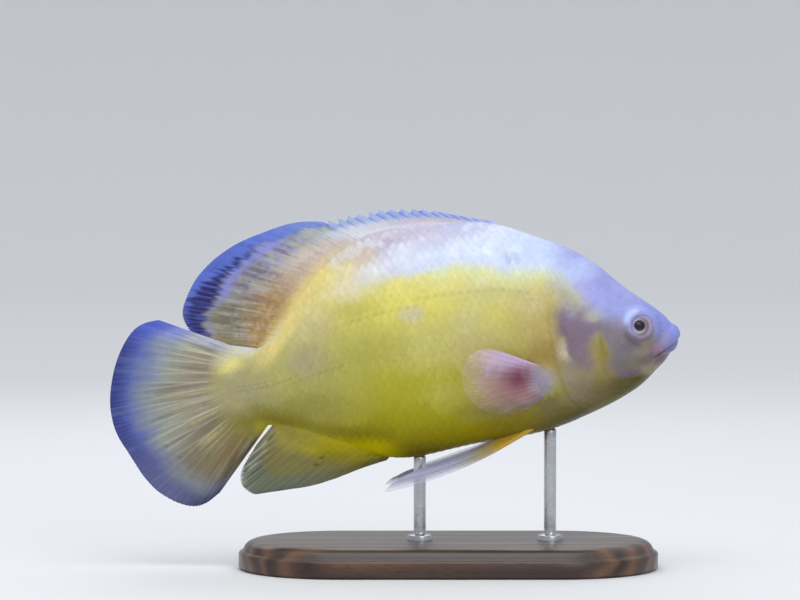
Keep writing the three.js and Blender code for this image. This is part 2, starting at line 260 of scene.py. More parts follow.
skinMaterial = wetMaterial("wetSkin", {
    "mottle": 0.06, "mottleSize": 5.0, "poreSize": 0.7, "poreDepth": 0.05, "roughness": (0.3, 0.48),
    "coat": 0.08, "coatRoughness": 0.2, "specular": 0.16, "soft": 0.08,
})
scaleMaterial = wetMaterial("wetScales", {
    "mottle": 0.05, "mottleSize": 2.2, "poreSize": 0.45, "poreDepth": 0.03, "roughness": (0.3, 0.45),
    "coat": 0.08, "coatRoughness": 0.22, "specular": 0.16, "soft": 0.05,
})
finMaterial = wetMaterial("wetFin", {
    "mottle": 0.06, "mottleSize": 2.5, "poreSize": 0.5, "poreDepth": 0.03, "roughness": (0.38, 0.55),
    "coat": 0.1, "coatRoughness": 0.25, "specular": 0.2, "clear": True,
})
print("wet materials made")


# Body.

body = {
    # Rings from the lips to the root of the tail fin: point on the back's outline, widest point seen from
    # the side, point on the belly's outline, half width, sharpness of back and of belly.
    "rings": [
        [-3.4, -3.2, -12.6, -8.6, -3.4, -3.2, 9.8, 1, 1],  # inside the lips
        [-0.5, -1.5, -13.0, -8.6, -1.0, -2.1, 10.9, 1, 1],  # where the lips meet
        [0.5, 1.2, -13.9, -8.6, -1.5, -4.6, 12.0, 1, 1],  # crests of the lips
        [-0.9, 4.8, -15.2, -8.6, -3.4, -7.0, 12.5, 1, 1],  # backs of the lips
        [-3.2, 6.4, -16.3, -8.5, -5.4, -8.0, 12.5, 1, 1],  # fold behind the lips
        [-6.0, 10.2, -18.5, -8.0, -8.3, -11.4, 13.7, 1, 1],  # snout and chin
        [-11.0, 15.4, -22.5, -6.8, -13.0, -15.4, 15.3, 1, 0.98],  # nostrils
        [-17.5, 21.3, -27.5, -4.5, -20.0, -21.2, 17.3, 1, 0.95],  # front of the eyes
        [-26.0, 29.2, -34.0, -1.0, -28.5, -26.0, 19.6, 1, 0.92],  # back of the eyes
        [-37.0, 40.5, -43.0, 3.5, -39.0, -30.3, 21.8, 1.05, 0.9],  # cheeks
        [-50.0, 49.8, -54.0, 8.0, -52.0, -34.5, 23.6, 1.12, 0.88],  # gill covers
        [-66.0, 57.8, -67.5, 11.0, -67.0, -38.3, 24.5, 1.2, 0.85],  # shoulders
        [-86.0, 66.2, -86.0, 13.0, -86.0, -40.3, 24.3, 1.3, 0.82],  # first dorsal spine
        [-108.0, 68.5, -108.0, 13.8, -108.0, -41.2, 23.2, 1.38, 0.82],  # middle of the back
        [-130.0, 69.5, -130.0, 13.0, -130.0, -43.6, 21.0, 1.45, 0.86],  # deepest belly
        [-149.0, 67.2, -149.0, 11.5, -149.0, -42.4, 18.0, 1.55, 1.05],  # front of the anal fin
        [-167.0, 58.4, -167.0, 8.8, -167.0, -34.8, 14.4, 1.7, 1.4],  # front of the soft dorsal
        [-183.0, 42.8, -183.0, 5.0, -183.0, -27.6, 11.2, 1.65, 1.5],  # middle of the soft dorsal
        [-197.0, 25.4, -197.0, 1.0, -197.0, -21.6, 8.7, 1.35, 1.25],  # front of the tail stalk
        [-209.0, 18.5, -209.0, -0.6, -209.0, -19.6, 6.2, 1.1, 1.1],  # thinnest of the tail stalk
        [-219.0, 18.2, -219.0, -0.8, -219.0, -19.8, 3.5, 1.05, 1.05],  # root of the tail fin
        [-227.0, 15.0, -227.0, -1.0, -227.0, -17.0, 1.5, 1, 1],  # base of the tail fin
        [-234.0, 11.0, -234.0, -1.0, -234.0, -13.0, 0.5, 1, 1],  # end of the flesh, inside the fin
    ],
    "along": 330, "around": 272,  # points of the skin
    "closer": [(9.5, 12, 1.6), (4, 6.5, 2.5)],  # ahead of these rings points stand closer, by this much more
    "evenRing": 7.6,  # the ring round which points are evenly spaced
    "round": 0.34,  # how far the fold at the side is rounded off, behind the lips
    "tip": 0.4,  # how far the last point lies behind the last ring
    "coatDepth": 0.32,  # how far the skin lies inside the solids, where it has scales
}
lastRing = len(body["rings"]) - 1
ringCurve = curveThrough(counted(body["rings"]))


# A ring's quarters are quarters of an ellipse, with the sine of the turn raised to the sharpness. The turn
# is 0 on the back, a quarter on the right side, a half on the belly. Behind the lips the fold that the
# rings make at the side is rounded off.
def bodyPoint(u, v):
    row = ringCurve(u)
    upright = np.abs(np.cos(v))
    upper = np.cos(v) >= 0
    soft = 0.001 + body["round"] * ease(u, 1.5, 5.5)
    rounded = (np.sqrt(upright**2 + soft**2) - soft) / (np.sqrt(1 + soft**2) - soft)
    outlineX = np.where(upper, row[..., 0], row[..., 4])
    outlineZ = np.where(upper, row[..., 1], row[..., 5])
    x = row[..., 2] + (outlineX - row[..., 2]) * rounded
    z = row[..., 3] + (outlineZ - row[..., 3]) * upright
    sharp = np.where(upper, row[..., 7], row[..., 8])
    y = -np.sign(np.sin(v)) * row[..., 6] * np.abs(np.sin(v)) ** sharp
    return np.stack([x, y, z], -1)


# The normal of any surface of two parameters, from its slopes.
def normalOf(surface, u, v, du, dv):
    alongU = surface(u + du, v) - surface(u - du, v)
    alongV = surface(u, v + dv) - surface(u, v - dv)
    across = np.cross(alongU, alongV)
    return across / np.maximum(np.linalg.norm(across, axis=-1, keepdims=True), 1e-9)


# Relief of the head, drawn on its side in x and z.
head = {
    "gillEdge": [(-54, 31), (-60.5, 26), (-63.2, 17), (-63.2, 7), (-62.2, -4), (-60.6, -14), (-57.6, -23),
                 (-52, -29), (-44, -31), (-34, -28)],
    "gillLift": 0.6, "gillGroove": 0.2,
    "cheekRidge": [(-40.5, 17), (-42.3, 9), (-42.3, 1), (-40.6, -8), (-37.4, -15.5), (-31.5, -20),
                   (-24, -19.5)],
    "cheekLift": 0.3, "cheekGroove": 0.08,
    "creases": [  # points, depth, width
        ([(-12.4, -9.2), (-16.5, -13.2), (-22, -16.8), (-29, -18.6)], 0.45, 0.8),  # under the jaw's corner
        ([(-7.6, 7.8), (-11.8, 4.2), (-14.6, -1.2), (-16.0, -7.6)], 0.4, 0.8),  # behind the upper jaw
        ([(-28, 5), (-31, 0.5), (-31.5, -5), (-29, -10.5)], 0.16, 1.1),  # behind the bones under the eye
        ([(-7.5, -10.8), (-12.5, -14.6), (-19, -18.6)], 0.25, 0.9),  # between lower lip and chin
        ([(-46, 24), (-52, 19), (-57, 12.5)], 0.15, 1.3),  # upper gill cover
    ],
    "nostril": (-9.9, 10.4), "nostrilSize": 0.6, "nostrilDepth": 0.7,
    "pores": [(-14.8, 16.2), (-19.5, 20.0), (-26.5, 22.5), (-8.2, 3.2), (-12.8, 0.2), (-18.6, -2.8),
              (-25.5, -1.2), (-29.6, 3.5), (-40.6, 12.6), (-41.6, 4.6), (-40.8, -3.4), (-38.4, -11),
              (-33.6, -17.4), (-26.8, -19.8), (-20.6, -19.4), (-14.6, -16.0), (-9.4, -12.4)],
    "poreSize": 0.5, "poreDepth": 0.4,
    "throatFolds": 3.4, "throatReach": -10.2, "throatDepth": 0.22,  # folds ahead of the gill cover's edge
    "finBase": (-69.6, -12.8), "finBaseSize": (7.4, 8.8), "finBaseLift": 2.2,  # root of the pectoral fin
    "end": -76, "eyeEnd": -34,  # x behind which the head's relief and the eye's rim have run out
}
eye = {
    "centre": (-18.9, 14.6, 7.35), "turnedForward": 12.0, "turnedUp": 13.0,  # of the left eye
    "radius": 5.8, "bulge": 1.9, "lens": 2.85, "pupilBack": 1.2,
    "back": [[5.6, -0.6], [5.2, -1.4], [4.2, -2.1], [2.4, -2.6], [0.0, -2.8]],  # radius and height, hidden
    "pupilDepth": 0.4, "pupilSlope": (2.05, 2.75), "pupilRim": 3.15, "pupilRimHeight": 0.03,
    "rings": 72, "around": 96, "lensRings": 28, "lensAround": 48,
    "rimRadius": 5.3, "rimHeight": 1.1, "rimLift": 0.7, "rimLiftAngle": 132.0, "rimFade": (7.2, 10.5),
    "socketDepth": 3.2, "blendOut": 12.0,
}
eyeAxis = np.array([math.sin(math.radians(eye["turnedForward"])), 1, math.sin(math.radians(eye["turnedUp"]))])
eyeAxis /= np.linalg.norm(eyeAxis)
eyeBack = np.cross(np.cross(eyeAxis, (-1, 0, 0)), eyeAxis)  # across the eye towards the tail
eyeBack /= np.linalg.norm(eyeBack)
eyeUp = np.cross(eyeAxis, -eyeBack)
if eyeUp[2] < 0:
    eyeUp = -eyeUp


# Height of the relief over the plain body, from grooves, ridges and pits along and around the drawn lines.
def headRelief(points):
    x, z = points[..., 0], points[..., 2]
    height = 0.1 * grain(points, 7.0, 3) + 0.04 * grain(points, 2.3, 4)
    edge, share = fromCurve(head["gillEdge"], x, z)
    inside = ease(edge, -11, -0.5) * (1 - ease(edge, -0.7, 0.5)) * ease(share, 0, 0.12)
    height += head["gillLift"] * inside * (1 - 0.75 * ease(share, 0.6, 0.85))
    groove = ease(edge, -0.3, 0.4) * (1 - ease(edge, 0.6, 4.5))
    height -= head["gillGroove"] * groove * ease(share, 0, 0.1) * (1 - 0.8 * ease(share, 0.6, 0.8))
    (baseX, baseZ), (baseLength, baseHeight) = head["finBase"], head["finBaseSize"]
    height += head["finBaseLift"] * bump(np.hypot((x - baseX) / baseLength, (z - baseZ) / baseHeight), 0.75)
    folds = (0.5 - 0.5 * np.cos(2 * np.pi * edge / head["throatFolds"])) * (edge < 0)
    height -= head["throatDepth"] * folds * (edge > head["throatReach"]) * ease(share, 0.66, 0.8)
    ridge, share = fromCurve(head["cheekRidge"], x, z)
    ends = ease(share, 0, 0.15) * (1 - ease(share, 0.85, 1))
    height += ends * head["cheekLift"] * bump(ridge + 0.9, 2.0) * (1 - ease(ridge, -0.3, 0.5))
    height -= ends * head["cheekGroove"] * bump(ridge - 0.6, 1.2)
    for path, depth, width in head["creases"]:
        crease, share = fromCurve(path, x, z)
        height -= depth * bump(crease, width) * ease(share, 0, 0.15) * (1 - ease(share, 0.8, 1))
    away = np.hypot(x - head["nostril"][0], z - head["nostril"][1]) / head["nostrilSize"]
    height += 0.35 * bump(away - 1.5, 0.7) - head["nostrilDepth"] * (1 - ease(away, 0.4, 1.15))
    for px, pz in head["pores"]:
        away = np.hypot(x - px, z - pz) / head["poreSize"]
        height += 0.1 * bump(away - 1.6, 0.6) - head["poreDepth"] * (1 - ease(away, 0.3, 1.2))
    return height


# Factors that carry points of the right side over to the left, and back again.
def toLeft(points):
    return np.where(points[..., 1:2] < 0, [1.0, -1.0, 1.0], 1.0)


# Places seen along the eye's axis, as if all were on the left: height above the eye's middle, distance from
# the axis, and the angle round it, 0 towards the snout and a quarter turn upwards.
def roundEye(points):
    mirrored = points * toLeft(points)
    off = mirrored - eye["centre"]
    height = off @ eyeAxis
    flat = off - height[..., None] * eyeAxis
    return mirrored, height, np.linalg.norm(flat, axis=-1), np.arctan2(flat @ eyeUp, -(flat @ eyeBack))


# Inside the rim the skin sinks behind the eyeball, and around it the skin rises to hug it.
def eyeRim(points):
    mirrored, height, away, around = roundEye(points)
    facing = np.clip(np.cos(around - math.radians(eye["rimLiftAngle"])), 0, 1)
    top = (eye["rimHeight"] + eye["rimLift"] * facing**1.5) * (1 - 0.45 * ease(away, *eye["rimFade"]))
    risen = ease(away, eye["rimRadius"] - 1, eye["rimRadius"])
    wanted = -eye["socketDepth"] + (top + eye["socketDepth"]) * risen
    share = 1 - ease(away, eye["rimRadius"] + 0.6 + 0.8 * facing, eye["blendOut"])
    moved = mirrored + ((wanted - height) * share * (away < eye["blendOut"]))[..., None] * eyeAxis
    return moved * toLeft(points)


# The skin is the body, sunk by the depth of the coat behind the lips, with the relief along its normal.
def skinPoint(u, v):
    plain = bodyPoint(u, v)
    outward = normalOf(bodyPoint, np.clip(u, 0.02, lastRing - 0.02), v, 0.02, 0.01)
    height = -body["coatDepth"] * ease(u, 5, 8) + 0.0 * v
    isHead = plain[..., 0] > head["end"]
    onSide = ease(np.abs(np.sin(v)), 0.12, 0.4)
    height[isHead] += headRelief(plain[isHead]) * (onSide * ease(u, 1.5, 4.5))[isHead]
    placed = plain + outward * height[..., None]
    near = plain[..., 0] > head["eyeEnd"]
    placed[near] = eyeRim(placed[near])
    return placed


# The skin on a grid of rings by turns. Rings stand closer where the outlines move fast and on the head, and
# turns are even in length round a ring of the head, but alike above and below at the mouth.
def makeSkin():
    count = body["around"]
    fine = np.linspace(0, lastRing, 2201)
    rows = ringCurve(fine)
    speed = sum(np.linalg.norm(np.gradient(rows[:, k:k + 2], axis=0), axis=1) for k in (0, 2, 4))
    speed *= 1 + sum(more * (1 - ease(fine, start, end)) for start, end, more in body["closer"])
    covered = np.concatenate([[0], np.cumsum(speed[1:])])
    u = np.interp(np.linspace(0, covered[-1], body["along"]), covered, fine)
    turn = np.linspace(0, 2 * np.pi, 1441)
    ring = bodyPoint(np.full_like(turn, body["evenRing"]), turn)
    length = np.concatenate([[0], np.cumsum(np.linalg.norm(np.diff(ring, axis=0), axis=1))])
    even = np.interp(np.arange(count) / count * length[-1], length, turn)
    alike = np.arange(count) / count * 2 * np.pi
    u, j = np.meshgrid(u, np.arange(count), indexing="ij")
    v = alike[j] + (even - alike)[j] * ease(u, 1.0, 5.0)
    lastX, lastZ = body["rings"][-1][2:4]
    points = np.concatenate([skinPoint(u, v).reshape(-1, 3), [[lastX - body["tip"], 0, lastZ]]])
    faces = gridFaces(body["along"], count)
    # Inside the mouth the ring is a slit, whose lower points are the same as its upper ones.
    weld = np.arange(len(points))
    lower = np.arange(count // 4 + 1, 3 * count // 4)
    weld[lower] = (count // 2 - lower) % count
    faces = weld[faces]
    end = (body["along"] - 1) * count + np.arange(count)
    cap = np.stack([end, np.full(count, len(points) - 1), np.roll(end, -1)], -1)
    colours = bodyColour(points)
    used = np.unique(np.concatenate([faces.ravel(), cap.ravel()]))
    order = np.zeros(len(points), int)
    order[used] = np.arange(len(used))
    return makePiece("skin", points[used], [order[faces], order[cap]], skinMaterial, colours[used])


# Colours of the body, shared by skin and scales: rows by height for the flank, then the head, then patches,
# each of them warped a little so that no edge runs even.
markings = {
    # The flank darkens towards the belly: partly its own olive, partly painted shade of the light from above.
    "flank": [  # height, colour
        (-44, (106, 96, 12)), (-39, (130, 118, 4)), (-34, (150, 138, 0)), (-22, (172, 163, 8)),
        (-8, (184, 177, 30)), (4, (198, 191, 62)), (18, (214, 206, 100)), (32, (230, 219, 112)),
        (46, (232, 223, 136)),
    ],
    # The side of the head darkens towards the throat: partly its own colour, partly painted shade of the
    # light from above.
    "headSide": [
        (-38, (84, 76, 18)), (-28, (108, 98, 36)), (-21, (130, 118, 66)), (-13, (142, 131, 102)),
        (-4, (134, 125, 126)), (8, (136, 126, 138)), (14, (149, 143, 156)), (21, (172, 169, 188)),
    ],
    # Patches of the flank, the side of the head and the pale back: middle, radii, softness, colour, strength.
    "patches": [
        (-70, 14, 13, 22, 0.7, (184, 163, 102), 0.85),  # mustard behind the gill cover
        (-66.5, -1, 8.5, 8, 0.7, (162, 134, 70), 0.85),  # orange over the pectoral fin
        (-71, 26, 7, 7, 0.9, (214, 202, 152), 0.6),
        (-78, -32, 16, 9, 0.9, (138, 118, 46), 0.6),
        # Painted shade on the belly's edge under the gill cover.
        (-62, -37, 13, 7, 0.9, (88, 84, 62), 0.75),
        (-174, 23, 8, 7, 0.9, (178, 164, 90), 0.65),
        (-92, 20, 18, 12, 0.8, (212, 200, 116), 0.55),
        (-128.6, 27.1, 5.4, 4.6, 0.6, (214, 202, 168), 0.8),  # lilac spot
        (-103.3, 16.1, 2.6, 1.8, 0.6, (226, 212, 156), 0.7),
        (-150, -3, 24, 13, 0.8, (178, 171, 54), 0.5),
        (-117, 11, 26, 11, 0.8, (206, 197, 134), 0.5),
        (-157, 33, 12, 8, 0.8, (194, 184, 92), 0.6),
        (-151, 13, 14, 9, 0.9, (174, 167, 72), 0.55),
        (-188, 4, 28, 28, 0.8, (182, 175, 110), 0.75),  # paler towards the tail
        (-180, 31, 12, 12, 0.8, (218, 204, 162), 0.5),
        (-183, 10, 9, 7, 0.8, (168, 156, 136), 0.6),
        (-185, -12, 15, 8, 0.9, (142, 137, 56), 0.5),
        (-95, -22, 14, 6, 0.8, (140, 127, 94), 0.5),
        (-66, -26, 8, 5, 0.8, (112, 103, 82), 0.7),
        (-98, 5, 13, 10, 0.8, (206, 192, 142), 0.5),
        (-219, -1, 17, 24, 0.8, (172, 164, 122), 0.95),
        (-221, 13.5, 7, 5, 0.8, (244, 232, 140), 0.85),
        # Darker under the tail stalk: partly its own olive, partly painted shade where it meets the anal fin.
        (-210, -18, 17, 8, 0.8, (128, 119, 20), 0.85),
        (-157, 44, 11, 6, 0.8, (232, 221, 190), 0.8),
        (-115, -13, 13, 7, 0.8, (200, 193, 94), 0.6),
        (-90, 33, 16, 6, 0.9, (200, 197, 150), 0.55),
        (-102, 22.5, 7, 4, 0.9, (214, 205, 152), 0.5),
        (-93, 40, 6, 3, 0.9, (226, 226, 184), 0.6),
    ],
    "headPatches": [
        (-52, -13, 12, 12, 0.7, (158, 147, 126), 0.85),  # lower gill cover
        (-46, -12, 8, 9, 0.8, (162, 146, 100), 0.6),
        (-52, 12, 13, 7.5, 0.75, (134, 114, 136), 0.92),  # dark patch of the gill cover, three lobes
        (-50, 4, 8, 8, 0.75, (132, 114, 130), 0.95),
        (-49.5, -3, 5, 6.5, 0.8, (132, 116, 126), 0.85),
        (-58.4, -0.5, 2.6, 3.2, 0.6, (212, 194, 170), 0.9),  # cream lumps at its rear
        (-59.2, 5.2, 2.4, 2.6, 0.6, (190, 182, 118), 0.85),
        (-57, -4.2, 2.4, 1.6, 0.7, (186, 172, 146), 0.7),
        (-62.4, 14.5, 3, 2.6, 0.7, (200, 188, 126), 0.7),
        (-61.3, 0.5, 2.8, 4.2, 0.8, (198, 182, 162), 0.9),
        (-40.2, 16, 5, 2.4, 0.9, (190, 192, 168), 0.6),
        (-63, 6.5, 2.2, 4, 0.6, (178, 160, 118), 0.8),
        (-63, 17, 3.4, 8, 0.7, (180, 160, 100), 0.8),
        (-61, 26, 6, 6, 0.8, (190, 174, 112), 0.8),
        (-51, 25, 6, 5, 0.8, (176, 168, 134), 0.75),
        (-59.5, 10.5, 4, 4.5, 0.8, (122, 104, 122), 0.8),
        (-60, 17.5, 4, 4, 0.8, (144, 128, 104), 0.6),
        # Dark olive chin: partly its own colour, partly painted shade of the light from above.
        (-22, -20, 5, 4, 0.8, (84, 77, 26), 0.6),
        (-41.3, 4.4, 2.6, 2.6, 0.7, (166, 157, 134), 0.7),
        (-41.4, 0.5, 3.6, 4.6, 0.8, (166, 152, 88), 0.9),  # yellow band with an olive middle
        (-39, -7, 4, 6.5, 0.8, (158, 142, 72), 0.92),
        (-39.6, 0.5, 1.3, 4, 0.9, (136, 124, 46), 0.7),
        (-38.4, -6.5, 1.3, 4.5, 0.9, (136, 122, 46), 0.7),
        (-40, -14, 5, 7, 0.7, (154, 138, 84), 0.85),
        # Dark olive chin: partly its own colour, partly painted shade of the light from above.
        (-26, -23, 15, 8, 0.9, (74, 66, 0), 0.92),
        (-46, -22, 13, 7, 0.9, (108, 96, 60), 0.5),
        (-31, -9, 6, 5, 0.8, (108, 102, 116), 0.6),
        # Painted shade on the belly's edge under the gill cover.
        (-60, -34, 14, 6, 0.9, (78, 74, 48), 0.8),
        (-27.2, -15, 5, 2.4, 0.6, (112, 96, 122), 0.6),
        (-16, -2.5, 6, 3.2, 0.7, (142, 132, 110), 0.8),  # olive under the front of the eye
        (-11.4, -6.5, 4.2, 3.6, 0.7, (152, 118, 146), 0.85),  # mouth's corner
        # The lower jaw's peach patch is partly its own colour and partly a painted highlight along its side.
        (-17.8, -12.8, 4.5, 2.6, 0.7, (148, 134, 118), 0.85),  # lower jaw
        # The next patches darken the crease under the jaw's corner, which is painted shade, and the lower
        # lip, partly its own dark lavender and partly painted shade.
        (-18.5, -9.2, 6, 2.4, 0.9, (96, 84, 88), 0.6),
        (-10.5, -10.8, 3.2, 2.6, 0.8, (88, 74, 86), 0.8),
        (-13.4, -9.4, 3, 2, 0.8, (118, 102, 116), 0.7),
        (-4, -7, 5.5, 4.8, 0.6, (100, 92, 108), 0.92),  # lower lip
        (-27, -2, 4, 3, 0.7, (104, 96, 112), 0.5),  # shade under the rear of the eye
    ],
    "backPatches": [
        (-124, 64, 26, 7, 0.6, (210, 202, 226), 0.8),
        (-140, 56, 9, 9, 0.7, (206, 196, 212), 0.75),
        (-153, 58, 11, 11, 0.5, (218, 200, 182), 0.95),  # peach
        (-165, 52, 12, 13, 0.5, (230, 208, 152), 0.95),
        (-145, 50, 8, 4.5, 0.8, (236, 236, 234), 0.7),
        (-138, 66, 22, 4, 0.7, (202, 190, 200), 0.6),
        (-160, 52.4, 5, 4, 0.8, (244, 234, 186), 0.85),
        (-158, 60, 5, 4, 0.8, (214, 194, 160), 0.7),
        (-132, 55, 8, 5, 0.8, (228, 234, 244), 0.7),
        (-136, 60, 4.5, 5, 0.7, (190, 174, 198), 0.5),
        (-76.7, 48.4, 4.2, 3.6, 0.6, (182, 196, 226), 0.8),  # blue-grey spot
        (-84, 57, 14, 6, 0.7, (222, 232, 250), 0.6),
        (-92, 66, 13, 3.6, 0.8, (186, 190, 224), 0.7),
        (-10.5, 0.8, 4.6, 4.6, 0.8, (144, 142, 184), 0.7),  # behind the upper lip
        (-56, 33, 6, 4.5, 0.8, (208, 216, 188), 0.7),
        (-45, 26, 5, 10, 0.9, (188, 176, 226), 0.45),
        (-44.5, 38.5, 8, 5, 0.8, (196, 212, 255), 0.75),
        (-57, 24, 5, 4.5, 0.8, (190, 178, 92), 0.75),
    ],
    # The pale back, nape, forehead and snout are lavender-blue, partly their own colour and partly a painted
    # tint of bluish light.
    "back": (214, 224, 248), "nape": (206, 220, 250), "forehead": (162, 168, 228),
    "snout": (141, 150, 223), "lime": (222, 230, 178), "white": (232, 236, 244),
    "keelLine": [(-230, -8), (-214, -14), (-199.5, -19.5), (-183, -25.5), (-176, -28.3), (-160, -31.5),
                 (-142, -33), (-120, -33)],
    # The keel's gold is brightened as painted light, and the dark line over it is painted shade.
    "keel": (218, 202, 0), "keelShade": (132, 118, 0),
    "edge": (232, 212, 134), "edgeWhite": (218, 214, 190), "finBase": (160, 150, 174),
    "rim": (186, 200, 248), "rimRear": (156, 156, 204), "rimLow": (150, 140, 166),
    "rimFront": (150, 146, 182), "rimShade": (92, 84, 102), "rimWarm": (122, 108, 112),
    # Lower border of the pale back and forehead, in x and z.
    "backBorder": [(-226, 46), (-180, 60), (-168, 56), (-160, 48), (-152, 46.5), (-143, 46.6), (-132, 46.6),
                   (-122, 45.6), (-112, 46.4), (-102, 48), (-93, 46), (-83, 42.5), (-74, 41.8), (-64, 41.2),
                   (-58.7, 39), (-53.5, 34.6), (-48.4, 29), (-43, 22.4), (-37.8, 15.5), (-30, 12), (-24, 8.5),
                   (-15, 5.2), (-11.6, 0.8), (-8, -3.6), (3, -5)],
}


# Colours from rows of height and colour, in straight steps between the rows.
def byHeight(rows, z):
    heights = [height for height, _ in rows]
    tones = np.array([shade(*tone) for _, tone in rows])
    return np.stack([np.interp(z, heights, tones[:, k]) for k in range(3)], -1)


# Soft-edged oval patches of colour, laid one over another.
def addPatches(colour, x, z, patches):
    for middleX, middleZ, wide, tall, soft, tone, strength in patches:
        away = np.hypot((x - middleX) / wide, (z - middleZ) / tall)
        colour = paint(colour, [(tone, strength * (1 - ease(away, 1 - soft, 1 + soft)))])
    return colour


# The colour at points of the skin: the flank by height, the head's side over it, and the pale back over both,
# each with its patches, then the rim of the eye. Noise shifts the places, so that borders are ragged.
def bodyColour(points):
    m = markings
    placeX, placeZ = points[..., 0], points[..., 2]
    fine, mid = grain(points, 1.9, 21), grain(points * [0.6, 1, 1], 4.5, 22)
    wide = grain(points * [0.6, 1, 1], 11, 23)
    x = placeX + 1.3 * mid + 0.5 * fine
    z = placeZ + 1.3 * grain(points * [0.7, 1, 1], 4.5, 24) + 0.5 * fine
    rings = body["rings"][:1:-1]
    under = np.interp(placeX, [ring[0] for ring in rings], [ring[1] for ring in rings]) - placeZ
    colour = addPatches(byHeight(m["flank"], z + 3 * wide), x, z, m["patches"])
    # The bright edge under the soft dorsal fin, then a golden keel that runs on into the anal fin, under a
    # soft dark line of painted shade. The keel's gold is brightened, painted light against the shade of the
    # downturned belly.
    edge = (1 - ease(x, -168, -150)) * ease(x, -214, -198) * (1 - ease(under + 3 * mid, 7, 15))
    keel = placeZ + 0.8 * mid - np.interp(placeX, *np.transpose(m["keelLine"]))
    rear = (1 - ease(x, -156, -136)) * ease(x, -216, -200)
    colour = paint(colour, [
        (m["edge"], 0.9 * edge),
        (m["edgeWhite"], 0.75 * (1 - ease(x, -196, -184)) * (1 - ease(under, 1, 5))),
        (m["keelShade"], 0.5 * bump(keel - 3, 3.6) * rear),
        (m["keel"], 0.9 * (1 - ease(keel, -5.5, 2.5)) * rear),
    ])
    side = addPatches(byHeight(m["headSide"], z + 1.5 * wide), x, z, m["headPatches"])
    low = 1 - ease(z, -26, -10)
    base = np.hypot((placeX + 70.5) / 9.5, (placeZ + 12.6) / 9) + 0.12 * mid
    # The pale back and forehead, with a ragged lower border and a lime seam along it.
    over = placeZ - (np.interp(placeX, *np.transpose(m["backBorder"])) + 1.6 * mid + 1.6 * wide + 0.6 * fine)
    lime = (0.7 - 0.35 * ease(x, -62, -54)) * bump(over + 1, 5.5) * ease(x, -126, -108)
    colour = paint(colour, [
        (side, ease(x + 0.4 * mid, -66.5 - 6 * low, -56.5 + 5 * low)),
        (m["finBase"], 0.9 * (1 - ease(base, 0.3, 1.15))),
        (m["lime"], lime * (1 - ease(x, -50, -41))),
    ])
    pale = paint(between(m["back"], m["nape"], ease(x, -90, -70)), [
        (m["forehead"], ease(x + 2 * wide, -64, -42)),
        (m["snout"], ease(x, -22, -8)),
    ])
    pale = addPatches(pale, x, z, m["backPatches"])
    pale = paint(pale, [(m["white"], 0.45 * ease(mid + 0.5 * fine, 0.1, 0.7) * (1 - ease(x, -74, -52)))])
    # The pale back is painted darker near the top of the outline: painted shade against the light from above.
    pale = pale * (0.9 + 0.1 * ease(under, 5, 16))[..., None]
    width = 4.2 + 2.6 * ease(x, -66, -46)
    colour = blend(colour, pale, ease(over, -width, width))
    near = (x > -36) & (x < -4)
    colour[near] = rimColour(colour[near], points[near])
    return colour * (1 + 0.035 * fine + 0.03 * mid)[..., None]


# The pale flesh that bulges round the upper rear of the eye, and the shade under it, by distance from the
# eye's axis and by the cosine of the angle from the middle of each stretch.
def rimColour(colour, points):
    m = markings
    _, _, away, around = roundEye(points)
    facing, ahead, behind, below, warm, under = (
        np.cos(around - math.radians(angle)) for angle in (eye["rimLiftAngle"], 0, 180, 262, 308, 230)
    )
    rim = ease(away, 5.8, 7.3) * (1 - ease(away, 7.6 + 0.8 * facing, 8.8 + 1.2 * facing))
    return paint(colour, [
        (m["rimFront"], 0.9 * (1 - ease(away, 5.6, 6.8)) * ease(ahead, 0.2, 0.8)),
        (m["rimRear"], 0.85 * (1 - ease(away, 6.0, 7.6)) * ease(behind, 0.5, 0.9)),
        (m["rimLow"], 0.85 * (1 - ease(away, 5.5, 6.8)) * ease(below, -0.1, 0.6)),
        (m["rimWarm"], 0.7 * (1 - ease(away, 6.4, 7.6)) * ease(warm, 0.6, 0.95)),
        (m["rimShade"], 0.75 * bump(away - 8.9, 1.3) * ease(under, 0.72, 0.97)),
        (m["rimShade"], 0.5 * bump(away - 6.9, 0.8) * ease(below, 0.4, 0.9)),
        (m["rim"], 0.95 * rim * ease(facing, 0.65, 0.96)),
    ])


skin = makeSkin()
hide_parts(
    "head", "upper_jaw", "lower_jaw", "gill_cover_right", "gill_cover_left", "trunk", "tail_stalk"
)
print("skin:", len(skin.data.polygons), "faces")


# Eyes: an iris turned round the eye's axis, and a dark lens that stands out through the pupil.

